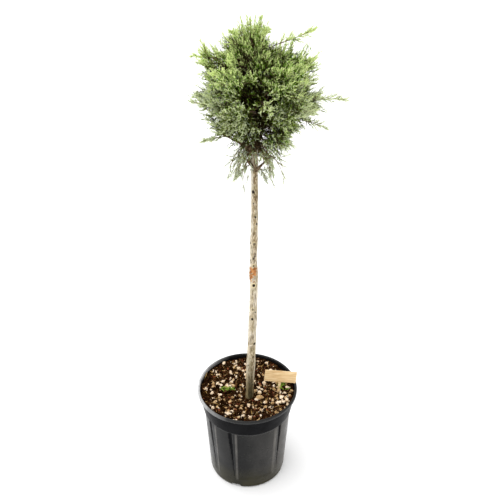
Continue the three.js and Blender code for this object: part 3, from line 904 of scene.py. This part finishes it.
# %% [markdown]
# Boughs are thick enough to show their bark, so they are pipes with many sides whose radius has
# waves in it. Thinner wood is covered by leaves and needs only a few sides.


# %% Bough surfaces
def tapering(first, last, steps, paths):
    """Radii along every path, from `first` to `last` millimetres."""
    return np.repeat(np.linspace(first, last, steps)[None] * MM, len(paths), 0)


def slim(middle, paths):
    """Radii of short paths of three points, `middle` millimetres thick half way."""
    return np.repeat(np.array([[0.0, middle, 0.0]]) * MM, len(paths), 0)


def build_boughs(material):
    """Radius = taper * (1 + waves), around and along every bough at once."""
    rows, columns = 34, 14
    steps = np.linspace(0, BOUGH_STEPS - 1, rows + 2)
    fine = np.stack([np.interp(steps, np.arange(BOUGH_STEPS), bough[:, k])
                     for bough in boughs for k in range(3)])
    fine = fine.reshape(len(boughs), 3, rows + 2).transpose(0, 2, 1)
    taper = tapering(4.4, 1.5, rows + 2, boughs)
    points, faces = tubes(fine, taper, columns)
    shaped = points.reshape(len(boughs), -1, 3)
    core = np.concatenate([np.repeat(fine[:, 1:-1], columns, 1), fine[:, :1], fine[:, -1:]], 1)
    rough = 1 + 0.13 * waves(shaped * np.array([1, 1, 0.7]), 0.006, 20, 51)[..., None]
    shaped = core + (shaped - core) * rough
    return add_piece("bough_bark", shaped.reshape(-1, 3), faces, material, "bough_bark",
                     replaces=bough_names)


bough_finish = mottled("bough_bark_brown", 150, [(0.3, (0.030, 0.020, 0.012)), (0.5, (0.105, 0.072, 0.042)),
                                                 (0.72, (0.28, 0.21, 0.135))], 0.0005)
build_boughs(bough_finish)

# %% [markdown]
# The CAD masses together give the head's outline. Seen from the middle of the head it is a
# distance for every direction, so the masses are turned into that function, smoothed over a few
# degrees, and a little longer where loose sprays stand out. Branches then end at evenly spread
# places inside it, more of them near the outside where the light is, and each grows from the
# nearest bough that lies further in than its own end.

# %% Outline of the head
HEAD_CENTRE = np.array([*stem_centre(0.99)[:2], 0.985]) + np.array([0.010, 0.0, 0.0])
HEAD_SIZE = np.array([0.118, 0.118, 0.150])
SMOOTHING = math.radians(6)
PEAK_POWER = 14
OUTLINE_GAIN = 1.04
SHOULDER_RISE = math.radians(50)
SHOULDER_WIDTH = 0.30
SHOULDER_GAIN = 0.07
STANDING_OUT_WIDTH = 0.45           # radians
# Directions in which sprays stand out further than the masses do, and by what share.
STANDING_OUT = [((-0.55, -0.1, 0.85), 0.28), ((-0.85, 0.0, 0.40), 0.05), ((0.65, 0.0, 0.75), 0.05),
                ((1.0, 0.0, 0.42), 0.15), ((1.0, 0.0, -0.05), 0.15),
                ((-1.0, -0.1, -0.60), 0.20), ((0.3, 1.0, -0.3), 0.06)]
skin = np.concatenate([node_points(name)[0] for name in foliage_names]) - HEAD_CENTRE
skin_reach = np.linalg.norm(skin, axis=-1).astype(np.float32)
skin_direction = (skin / skin_reach[:, None]).astype(np.float32)


def head_reach(directions):
    """Distance from the head's middle to its outline: the power mean of the masses' points,
    (sum w d^p / sum w)^(1/p), with w = exp(-angle^2 / 2 smoothing^2) between the two directions.
    It is a little more at the shoulders and in the directions of STANDING_OUT."""
    found = []
    for part in np.array_split(directions.astype(np.float32), max(1, len(directions) // 4000)):
        weight = np.exp((part @ skin_direction.T - 1) / np.float32(SMOOTHING**2))
        peak = skin_reach.max()
        mean = (weight @ (skin_reach / peak) ** PEAK_POWER) / weight.sum(-1)
        found.append(peak * mean ** (1 / PEAK_POWER))
    rise = np.arcsin(directions[:, 2])
    gain = OUTLINE_GAIN + SHOULDER_GAIN * np.exp(-(((rise - SHOULDER_RISE) / SHOULDER_WIDTH) ** 2))
    for towards, more in STANDING_OUT:
        apart = np.arccos(np.clip(directions @ unit(np.array(towards)), -1, 1))
        gain = gain + more * np.exp(-((apart / STANDING_OUT_WIDTH) ** 2))
    return gain * np.concatenate(found)


def outside_by(points):
    """How far points are outside the head's outline, in metres. Negative inside."""
    arm = points - HEAD_CENTRE
    return np.linalg.norm(arm, axis=-1) - head_reach(unit(arm))


# %% Branches
BRANCH_STEPS = 7
BRANCH_COUNT = 470
SKIRT_COUNT = 46
SKIRT_ARC = np.radians([-55.0, 235.0])      # the front stays open, so that the stem shows
# Ends of the plumes from the tip of the stem.
PLUME_ENDS = MM * np.array([[-17, -4, 42], [-6, 5, 60], [0, 0, 78], [9, -5, 56], [19, 4, 44]], float)
rng = np.random.default_rng(61)


def even_directions(count):
    """Directions spread evenly over a sphere: heights in equal steps, golden-angle turns."""
    order = np.arange(count) + 0.5
    height = 1 - 2 * order / count
    turn = order * math.pi * (3 - math.sqrt(5))
    side = np.sqrt(1 - height**2)
    return np.stack([side * np.cos(turn), side * np.sin(turn), height], -1)


def head_branches(count):
    """Branches from the best bough to evenly spread ends. The best starting point is near, and
    not further from the stem than the end is."""
    directions = unit(even_directions(count) + rng.normal(0, 0.05, (count, 3)))
    share = rng.uniform(0.10, 1.0, (count, 1)) ** 0.5 * 0.86
    ends = HEAD_CENTRE + directions * head_reach(directions)[:, None] * share
    upper_stem = stem_centre(np.linspace(0.90, STEM_TIP - 0.004, 26))
    starts = np.concatenate([boughs[:, 2:].reshape(-1, 3), upper_stem])
    along = unit(np.gradient(boughs, axis=1))[:, 2:].reshape(-1, 3)
    heading = np.concatenate([along, np.tile(UP, (len(upper_stem), 1))])
    span = np.linalg.norm(ends[:, None] - starts[None], axis=-1)
    stem_x, stem_y = stem_centre(0.99)[:2]
    out_start = np.hypot(starts[:, 0] - stem_x, starts[:, 1] - stem_y)
    out_end = np.hypot(ends[:, 0] - stem_x, ends[:, 1] - stem_y)
    inward = np.maximum(out_start[None] - 0.8 * out_end[:, None], 0)
    downhill = np.maximum(starts[None, :, 2] - ends[:, None, 2] - 0.01, 0)
    best = (span + 3 * inward + 1.5 * downhill).argmin(1)
    start, forward = starts[best], heading[best]
    length = np.linalg.norm(ends - start, axis=-1, keepdims=True)
    control = start + forward * length * 0.4 + rng.normal(0, 0.08, (count, 3)) * length
    return bent_paths(start, control, ends, BRANCH_STEPS)


def shoot_branch(name):
    """A long shoot: from inside the head, along its CAD solid, nearly to that solid's far tip."""
    points, _ = node_points(name)
    head = stem_centre(points[:, 2].mean())
    distance = np.linalg.norm(points - head, axis=-1)
    tip, near = points[distance.argmax()], points[distance.argmin()]
    start = near + (head - near) * 0.45
    end = tip + 5 * MM * unit(near - tip)
    control = near * 0.6 + tip * 0.4 + 5 * MM * UP
    return bent_paths(start[None], control[None], end[None], BRANCH_STEPS)[0]


def skirt_branches(count):
    """Thin branches that leave the stem under the head, bend over and hang down around it."""
    azimuth = rng.uniform(*SKIRT_ARC, count)
    reach = rng.uniform(0.020, 0.062, count)[:, None]
    start = stem_centre(rng.uniform(0.872, 0.905, count))
    out = np.stack([np.cos(azimuth), np.sin(azimuth), np.zeros(count)], -1)
    end = start + out * reach - UP * rng.uniform(0.010, 0.064, (count, 1))
    return bent_paths(start, start + out * reach * 0.8 + UP * 0.008, end, BRANCH_STEPS)


def leader_plumes():
    """Thin upright shoots at the tip of the leader."""
    ends = stem_centre(np.array([STEM_TIP])) + PLUME_ENDS
    start = np.repeat(stem_centre(np.array([STEM_TIP - 0.03])), len(ends), 0)
    ends[:, 2] = np.minimum(ends[:, 2], cad_high.z)
    return bent_paths(start, start * 0.35 + ends * 0.65 - UP * 0.012, ends, BRANCH_STEPS)


branches = head_branches(BRANCH_COUNT)
skirt = skirt_branches(SKIRT_COUNT)
plumes = leader_plumes()
long_shoots = np.concatenate([np.stack([shoot_branch(name) for name in shoot_names]), plumes])
print("branches", len(branches), "long shoots", len(long_shoots))

# %% [markdown]
# ## Sprays and cords
# The next orders use the same rule with their own numbers: how many, how far they lean, how long
# they are, and how much they turn to the light. Low sprays hang a little, high ones stand up. The
# sprays are shortened where they would leave the outline, which is what shears do to a real head,
# and a few stand out further. Sprays are left out in a dark cleft in front, in a see-through
# window low on the left, and more and more towards the bottom. Each branchlet and cord is a slim
# three-sided spike: from any distance it reads as a cord of scale leaves, and it costs four faces.

# %% Growing rule
DROOP_HEIGHT = 0.925                # below it, light pulls a shoot down and above it up
LIFT_SPAN = 0.10
CLEFT_CENTRE = np.array([0.027, -0.085, 0.990])
CLEFT_SIZE = np.array([0.027, 0.046, 0.072])
WINDOW_CENTRE = np.array([-0.046, -0.030, 0.920])
WINDOW_SIZE = np.array([0.036, 0.110, 0.028])
KEPT_IN_CLEFT, KEPT_IN_WINDOW, KEPT_AT_FOOT = 0.16, 0.05, 0.08
THIN_LOW, THIN_HIGH = 0.875, 0.985  # heights between which more and more sprays are kept


def kept_inside(paths, slack, inset=0.0):
    """Paths shortened so that most tips end near the outline, or `inset` inside it. A few reach
    out by several times `slack`, as the ends of untrimmed sprays do."""
    start, tip = paths[:, :1], paths[:, -1]
    size = np.linalg.norm(tip - start[:, 0], axis=-1)
    over = outside_by(tip) + inset - slack * (np.minimum(rng.exponential(1.5, len(paths)), 3.4) - 1.2)
    share = np.clip(1 - over / size, 0.25, 1.0)
    return start + (paths - start) * share[:, None, None]


def path_lengths(paths):
    """Straight lengths from the start to the end of each path."""
    return np.linalg.norm(paths[:, -1] - paths[:, 0], axis=-1)


def grow(parents, per_parent, lean, length, steps, first=0.2, light=0.0, outward=0.0, flat=1.0, taper=0.5):
    """Side shoots on every parent path. Returns their paths, their parents and where they start.
    direction = parent leaned over + light * up + outward * away from the head's centre, and
    size = length * (1 - taper * share of the way along the parent), each with its own chance.
    `length` is one length or one for each parent, `first` is the share where shoots begin, and
    `flat` is how far they leave the plane of the parent's two sides."""
    count = len(parents) * per_parent
    owner = np.repeat(np.arange(len(parents)), per_parent)
    order = np.tile(np.arange(per_parent), len(parents))
    share = first + (1 - first) * (order + rng.uniform(0.1, 1.0, count)) / per_parent
    start, forward = at_share(parents, owner, share)
    spin = rng.uniform(0, FULL_TURN, len(parents))[owner]
    roll = spin + order * math.pi + rng.normal(0, flat, count)
    angle = lean * rng.uniform(0.7, 1.3, count) * (1.15 - 0.75 * share)
    direction = side_directions(forward, angle, roll)
    away = unit((start - HEAD_CENTRE) / HEAD_SIZE**2)
    lift = np.clip((start[:, 2:] - DROOP_HEIGHT) / LIFT_SPAN, -1.0, 1.0)
    direction = unit(direction + light * lift * UP + outward * away)
    size = np.broadcast_to(length, len(parents))[owner] * rng.uniform(0.65, 1.25, count)
    size = (size * (1 - taper * share))[:, None]
    end = start + direction * size
    bow = unit(forward + direction) * size * 0.5
    paths = bent_paths(start, start + bow, end + light * lift * UP * size * 0.25, steps)
    return paths, owner, share


def spikes(paths, radius):
    """Cords: a triangle across the start of each path and one point at its end."""
    start, end = paths[:, 0], paths[:, -1]
    forward = unit(end - start)
    across, over = across_and_over(forward)
    a = np.arange(3) * FULL_TURN / 3
    ring = across[:, None] * np.cos(a)[:, None] + over[:, None] * np.sin(a)[:, None]
    points = np.concatenate([start[:, None] + radius[:, None, None] * ring, end[:, None]], 1)
    faces = np.array([[0, 2, 1], [0, 1, 3], [1, 2, 3], [2, 0, 3]])
    steps = np.arange(len(paths))[:, None, None] * 4
    return points.reshape(-1, 3), (faces[None] + steps).reshape(-1, 3)


def joined(*parts):
    """Several (points, faces) pairs as one."""
    shift = np.cumsum([0] + [len(points) for points, _ in parts[:-1]])
    return (np.concatenate([points for points, _ in parts]),
            np.concatenate([faces + step for (_, faces), step in zip(parts, shift)]))


def leafed(sprays, branchlet_rule, cord_rule):
    """Branchlets on sprays and cords on branchlets. A rule is: how many, lean, length as a share of
    the parent's, first, light, flat, taper. Returns the branchlets, the spray of each and its share
    of the way along it, then the cords and the branchlet of each."""
    found = []
    parents = sprays
    for many, lean, part, first, light, flat, taper in (branchlet_rule, cord_rule):
        grown = grow(
            parents, many, lean, part * path_lengths(parents), 2, first, light, flat=flat, taper=taper)
        parents = grown[0]
        found.extend(grown)
    return found[:5]


# %% Growing the crown
sprays = grow(branches, 9, 0.75, 0.040, 4, first=0.24, light=0.35, outward=0.95, flat=0.9, taper=0.3)[0]
in_cleft = (((sprays[:, 2] - CLEFT_CENTRE) / CLEFT_SIZE) ** 2).sum(-1) < 1
in_window = (((sprays[:, 2] - WINDOW_CENTRE) / WINDOW_SIZE) ** 2).sum(-1) < 1
low_down = KEPT_AT_FOOT + (1 - KEPT_AT_FOOT) * smoothstep(sprays[:, 2, 2], THIN_LOW, THIN_HIGH)
kept = np.where(in_cleft, KEPT_IN_CLEFT, np.where(in_window, KEPT_IN_WINDOW, low_down))
sprays = sprays[rng.uniform(size=len(sprays)) < kept]
sprays = kept_inside(sprays, 6 * MM)
skirt_sprays = grow(
    skirt, 3, 0.85, 0.50 * path_lengths(skirt), 4, first=0.25, light=0.35, flat=0.9, taper=0.45)[0]
sprays = np.concatenate([sprays, skirt_sprays])
leaves = leafed(sprays, (11, 0.78, 0.36, 0.06, 0.12, 0.45, 0.5), (2, 0.65, 0.62, 0.15, 0.1, 0.5, 0.3))
shoot_length = np.maximum(0.30 * path_lengths(long_shoots), 15 * MM)
shoot_sprays = grow(long_shoots, 20, 0.78, shoot_length, 4, first=0.12, light=0.10, flat=0.7, taper=0.66)[0]
shoot_leaves = leafed(
    shoot_sprays, (8, 0.70, 0.44, 0.10, 0.1, 0.6, 0.45), (2, 0.60, 0.55, 0.15, 0.1, 0.6, 0.3))
branchlets = np.concatenate([leaves[0], shoot_leaves[0]])
cords = np.concatenate([leaves[3], shoot_leaves[3]])
print("sprays", len(sprays), "on long shoots", len(shoot_sprays))
print("branchlets", len(branchlets), "cords", len(cords))

# %% [markdown]
# ## Wood of the head
# Branches and spray stalks are joined into one piece of thin twigs, grey-brown with tan tips.
# Close to the stem no light comes in, so the old twigs there are bare, brown and brittle.

# %% Twigs
wood = np.concatenate([branches, skirt, long_shoots])
wood_radii = tapering(1.3, 0.5, BRANCH_STEPS, wood)
stalks = np.concatenate([sprays, shoot_sprays])
stalk_radii = np.repeat(np.array([[0.0, 0.75, 0.60, 0.0]]) * MM, len(stalks), 0)
twig_finish = mottled("twig_bark", 210, [(0.3, (0.065, 0.044, 0.022)), (0.5, (0.20, 0.145, 0.080)),
                                         (0.72, (0.42, 0.33, 0.20))], 0.0003)
add_piece("twigs", *joined(tubes(wood, wood_radii, 5), tubes(stalks, stalk_radii, 3)), twig_finish,
          "bough_bark")

inner_height = np.linspace(0.915, 1.07, 12)
inner_stem = stem_centre(inner_height)[None]
dead, _, _ = grow(inner_stem, 260, 1.45, 0.095, 5, first=0.0, flat=3.0, taper=0.25, outward=0.1)
dead = kept_inside(dead, 5 * MM, 26 * MM)
dead_side, _, _ = grow(dead, 8, 0.8, 0.026, 3, first=0.25, flat=1.2, taper=0.3)
dead_tips, _, _ = grow(dead_side, 4, 0.7, 0.012, 3, first=0.2, flat=1.2, taper=0.3)
dead_finish = mottled("dead_twigs", 160, [(0.3, (0.012, 0.007, 0.003)), (0.55, (0.045, 0.027, 0.012)),
                                          (0.78, (0.15, 0.10, 0.05))], 0.0003)
dead_wood = joined(tubes(dead, tapering(0.9, 0.4, 5, dead), 4), tubes(dead_side, slim(0.55, dead_side), 3),
                   spikes(dead_tips, np.full(len(dead_tips), 0.5 * MM)))
add_piece("dead_twigs", *dead_wood, dead_finish, "bough_bark")

# %% [markdown]
# ## Colours by spray
# Young growth at the top and the tips is yellow-green, the body is mid green, some sprays on the
# left have a grey bloom, and sprays inside are dark and brownish, partly with age and partly as
# painted shade. Each colour is one plain material. A spray's lightness comes from how far out and
# how high it is, as painted light, and drops round the gap in front, as painted shade, with slow
# waves so that neighbours agree. Its cords are darker at the spray's foot and lighter at its tip,
# and each one is dealt the colour of its own step of lightness.

# %% Leaf colours
LEAF_COLOURS = {
    "sprays_shade": ((0.032, 0.035, 0.005), "foliage_dark"),
    "sprays_deep": ((0.090, 0.130, 0.012), "foliage_dark"),
    "sprays_green": ((0.265, 0.345, 0.075), "foliage_mid"),
    "sprays_bright": ((0.770, 0.850, 0.490), "foliage_light"),
    "sprays_bloom": ((0.590, 0.670, 0.500), "foliage_mid"),
    "sprays_fresh": ((0.220, 0.430, 0.045), "foliage_mid"),
    "sprays_young": ((0.790, 0.930, 0.370), "foliage_light"),
}
colour_names = list(LEAF_COLOURS)
GREEN, BRIGHT, BLOOM, FRESH, YOUNG = range(2, len(colour_names))
LIGHT_STEPS = [-0.54, -0.25, 0.03]
YOUNG_CENTRE = np.array([0.070, -0.090, 0.958])
YOUNG_SIZE = np.array([0.030, 0.040, 0.022])
FOOT_TO_TIP = 0.85                  # how much lighter a spray's tip is than its foot
OWN_CHANCE = 0.32                   # how far each branchlet's own lightness strays
SHOOT_LIFT = 0.22                   # how much lighter the long shoots are


def near_young(points):
    """1 in the middle of one cluster of young sprays at the front, and 0 well away from it."""
    return np.exp(-(((points - YOUNG_CENTRE) / YOUNG_SIZE) ** 2).sum(-1))


def lightness(paths):
    """How light a spray is: more when it is far out or high up, as painted light, and less round the gap in
    front, as painted shade.
    """
    middle = paths[:, len(paths[0]) // 2]
    out = np.linalg.norm((middle - HEAD_CENTRE) / HEAD_SIZE, axis=-1)
    high = (middle[:, 2] - HEAD_CENTRE[2]) / HEAD_SIZE[2]
    shaded = np.exp(-(((middle - CLEFT_CENTRE) / (1.7 * CLEFT_SIZE)) ** 2).sum(-1))
    patches = 0.22 * waves(middle, 0.07, 14, 71) + rng.normal(0, 0.14, len(paths))
    low = smoothstep(-high, 0.25, 0.75)
    # Painted light far out and high up, painted shade round the gap in front.
    return (1.15 * (out - 0.80) + 0.10 * high - 0.34 * shaded + 0.42 * low + 0.40 * near_young(middle)
            + patches)


def dealt(light, place):
    """Steps of lightness as an index into LEAF_COLOURS. The greens are fresher near the top, and
    some of the light ones at the left and low down have a grey bloom."""
    high = (place[:, 2] - HEAD_CENTRE[2]) / HEAD_SIZE[2]
    step = np.digitize(light, LIGHT_STEPS)
    fresh = rng.uniform(size=len(light)) < smoothstep(high, -0.05, 0.75) + near_young(place)
    grey_side = 0.35 * waves(place, 0.09, 10, 72) - 3 * (place[:, 0] - HEAD_CENTRE[0]) - 0.9 * high
    bloom = (step >= GREEN) & ~fresh & (grey_side + rng.normal(0, 0.7, len(light)) > 0.95)
    return np.select([bloom, fresh & (step == GREEN), fresh & (step == BRIGHT)], [BLOOM, FRESH, YOUNG], step)


def deal(sprays, branchlets, owner, share, cords, cord_owner, lift=0.0):
    """Colours of branchlets and cords: the spray's own lightness, darker at its foot and lighter
    at its tip, with a little of each branchlet's own."""
    light = lightness(sprays)[owner] + FOOT_TO_TIP * (share - 0.55)
    light = light + rng.normal(0, OWN_CHANCE, len(owner)) + lift
    tip_light = light[cord_owner] + 0.10 + rng.normal(0, 0.12, len(cord_owner))
    return dealt(light, branchlets[:, 0]), dealt(tip_light, cords[:, 0])


dealt_out = [deal(sprays, *leaves), deal(shoot_sprays, *shoot_leaves, SHOOT_LIFT)]
branchlet_colour, cord_colour = (np.concatenate(part) for part in zip(*dealt_out))
print("branchlets of each colour", np.bincount(branchlet_colour, minlength=len(colour_names)))

# %% Litter on the mix
LYING_HEIGHT = 3.0 * MM


def lying(place, turn, length, up=0.0):
    """One straight path that lies on the mix, `length` long and `turn` degrees from +X."""
    x, y = place
    start = np.array([x, y, mix_level(x, y) + LYING_HEIGHT])
    run = np.array([math.cos(math.radians(turn)), math.sin(math.radians(turn)), up])
    return np.stack([start + run * length * t for t in (0.0, 0.5, 1.0)])[None]


def flattened(paths):
    """Paths pressed down on the mix: their heights above it are reduced to a quarter."""
    level = mix_level(paths[..., 0], paths[..., 1]) + LYING_HEIGHT
    pressed = paths.copy()
    pressed[..., 2] = level + (paths[..., 2] - level) * 0.25
    return pressed


fallen = lying((-0.072, 0.008), 8, 0.034)
fallen_side = flattened(grow(fallen, 13, 0.8, 0.017, 3, first=0.05, flat=0.3, taper=0.4)[0])
fallen_cords = flattened(grow(fallen_side, 4, 0.6, 0.008, 3, flat=0.5)[0])
tuft = np.concatenate([lying((0.079 + 0.0015 * k, 0.007 - 0.0008 * k), 36 * k, 0.012, 1.1)
                       for k in range(10)])
tuft_side = grow(tuft, 4, 0.5, 0.011, 3, first=0.3, light=0.3)[0]
litter = joined(tubes(fallen_side, slim(0.9, fallen_side), 3),
                spikes(fallen_cords, np.full(len(fallen_cords), 0.9 * MM)),
                tubes(tuft, slim(0.9, tuft), 3),
                spikes(tuft_side, np.full(len(tuft_side), 0.8 * MM)))
fresh = plain_finish("fresh_litter", (0.30, 0.47, 0.060), 0.6, 0.2)
add_piece("green_litter", *litter, fresh, "foliage_light")
stick = np.concatenate([
    lying((-0.106, 0.030), 76, 0.036, 0.15), lying((0.012, -0.088), 100, 0.020, 0.3),
    lying((-0.060, -0.052), 150, 0.030), lying((0.060, -0.060), 20, 0.026)])
add_piece("straw_sticks", *tubes(stick, slim(1.2, stick), 6), straw, "potting_mix")
ball_points, ball_faces = ball(3)
uneven = (1 + 0.14 * waves(ball_points, 0.8, 12, 81))[:, None]
big_chip = ball_points * np.array([8.5, 6.0, 4.5]) * MM * uneven
chip_x, chip_y = 0.030, -0.016
big_chip += np.array([chip_x, chip_y, mix_level(chip_x, chip_y) + 2.5 * MM])
add_piece("large_pumice", big_chip, ball_faces, pumice_stained, "potting_mix")

# %% Leaf pieces
BRANCHLET_RADIUS, CORD_RADIUS = 0.98 * MM, 0.87 * MM
SKIRT_THINNING = 0.30               # how much slimmer the cords of the hanging sprays are
SKIRT_LOW, SKIRT_HIGH = 0.870, 0.905
branchlet_radius = BRANCHLET_RADIUS * rng.uniform(0.80, 1.2, len(branchlets))
cord_radius = CORD_RADIUS * rng.uniform(0.75, 1.25, len(cords))
for radius, paths in ((branchlet_radius, branchlets), (cord_radius, cords)):
    radius *= 1 - SKIRT_THINNING * smoothstep(-paths[:, 0, 2], -SKIRT_HIGH, -SKIRT_LOW)
for index, (name, (colour, slot)) in enumerate(LEAF_COLOURS.items()):
    mine, own = branchlet_colour == index, cord_colour == index
    shape = joined(spikes(branchlets[mine], branchlet_radius[mine]), spikes(cords[own], cord_radius[own]))
    leaf = plain_finish(name + "_leaf", colour, 0.6, 0.03)
    add_piece(name, *shape, leaf, slot, replaces=foliage_names + shoot_names)

# %% [markdown]
# ## The label
# A thin blank plywood label on its own stick, pushed into the mix by hand and so not quite level.
# It is cut from one sheet, so it is one outline given a thickness, with its edges rounded by a
# bevel. Its grain runs along the plate, which noise stretched along X gives.


# %% Label
LABEL_LEAN = math.radians(3.5)


def build_label(material):
    """The CAD label's own outline, welded, with rounded edges, turned a little about Y in its
    middle: (x cos a + z sin a, z cos a - x sin a)."""
    points, triangles = node_points("plant_label")
    welded, back = np.unique(points.round(6), axis=0, return_inverse=True)
    middle = (welded.min(0) + welded.max(0)) / 2
    arm = welded - middle
    welded = middle + np.stack([
        arm[:, 0] * math.cos(LABEL_LEAN) + arm[:, 2] * math.sin(LABEL_LEAN), arm[:, 1],
        arm[:, 2] * math.cos(LABEL_LEAN) - arm[:, 0] * math.sin(LABEL_LEAN)], -1)
    piece = add_piece("label_plywood", welded, back.reshape(-1)[triangles], material, "label_wood",
                      smooth=False, replaces=["plant_label"])
    rounding = piece.modifiers.new("rounded", "BEVEL")
    rounding.width = 0.5 * MM
    rounding.segments = 2
    rounding.limit_method = "ANGLE"
    return piece


def plywood_finish():
    material, tree, shader = node_finish("birch_plywood", 0.7, 0.3)
    grain = noise_ramp(tree, 60, 8, [
        (0.3, (0.60, 0.38, 0.17)), (0.5, (0.80, 0.56, 0.29)), (0.7, (0.90, 0.70, 0.42))], (0.6, 6, 6))
    paint(tree, shader, grain)
    bump_on(tree, shader, noise_on(tree, 220, 5, (0.4, 4, 4)), 0.0002)
    return material


build_label(plywood_finish())

# %% [markdown]
# ## Floor and light
# A white floor and a white surround, with one large soft light from the upper left and a weak one
# from behind that lifts the outline, as in a small product studio. The view transform is
# Standard, so that whites stay white.

# %% Stage
FLOOR_HALF = 9.0
SURROUND, KEY_POWER, RIM_POWER, RIM_SIZE = 0.95, 1.75, 10, 1.3
floor_corners = np.array([[-1, -1, 0], [1, -1, 0], [1, 1, 0], [-1, 1, 0]]) * FLOOR_HALF
floor_mesh = bpy.data.meshes.new("floor")
floor_mesh.from_pydata(floor_corners.tolist(), [], [(0, 1, 2, 3)])
floor_mesh.materials.append(plain_finish("floor_white", grey(0.96), 0.7, 0.2))
set_up("floor", floor_mesh)

world = bpy.data.worlds.new("studio")
world.use_nodes = True
surround = world.node_tree.nodes["Background"]
surround.inputs["Color"].default_value = (1.0, 1.0, 1.0, 1.0)
surround.inputs["Strength"].default_value = SURROUND
bpy.context.scene.world = world

sun_data = bpy.data.lights.new("key", "SUN")
sun_data.energy = KEY_POWER
sun_data.angle = math.radians(70)
set_up("key", sun_data, rotation=(math.radians(20), 0.0, math.radians(-70)))
rim_data = bpy.data.lights.new("rim", "AREA")
rim_data.size = RIM_SIZE
rim_data.energy = RIM_POWER
set_up("rim", rim_data, (-1.7, 1.8, 1.3), (math.radians(76), 0.0, math.radians(-136)))
bpy.context.scene.view_settings.view_transform = "Standard"
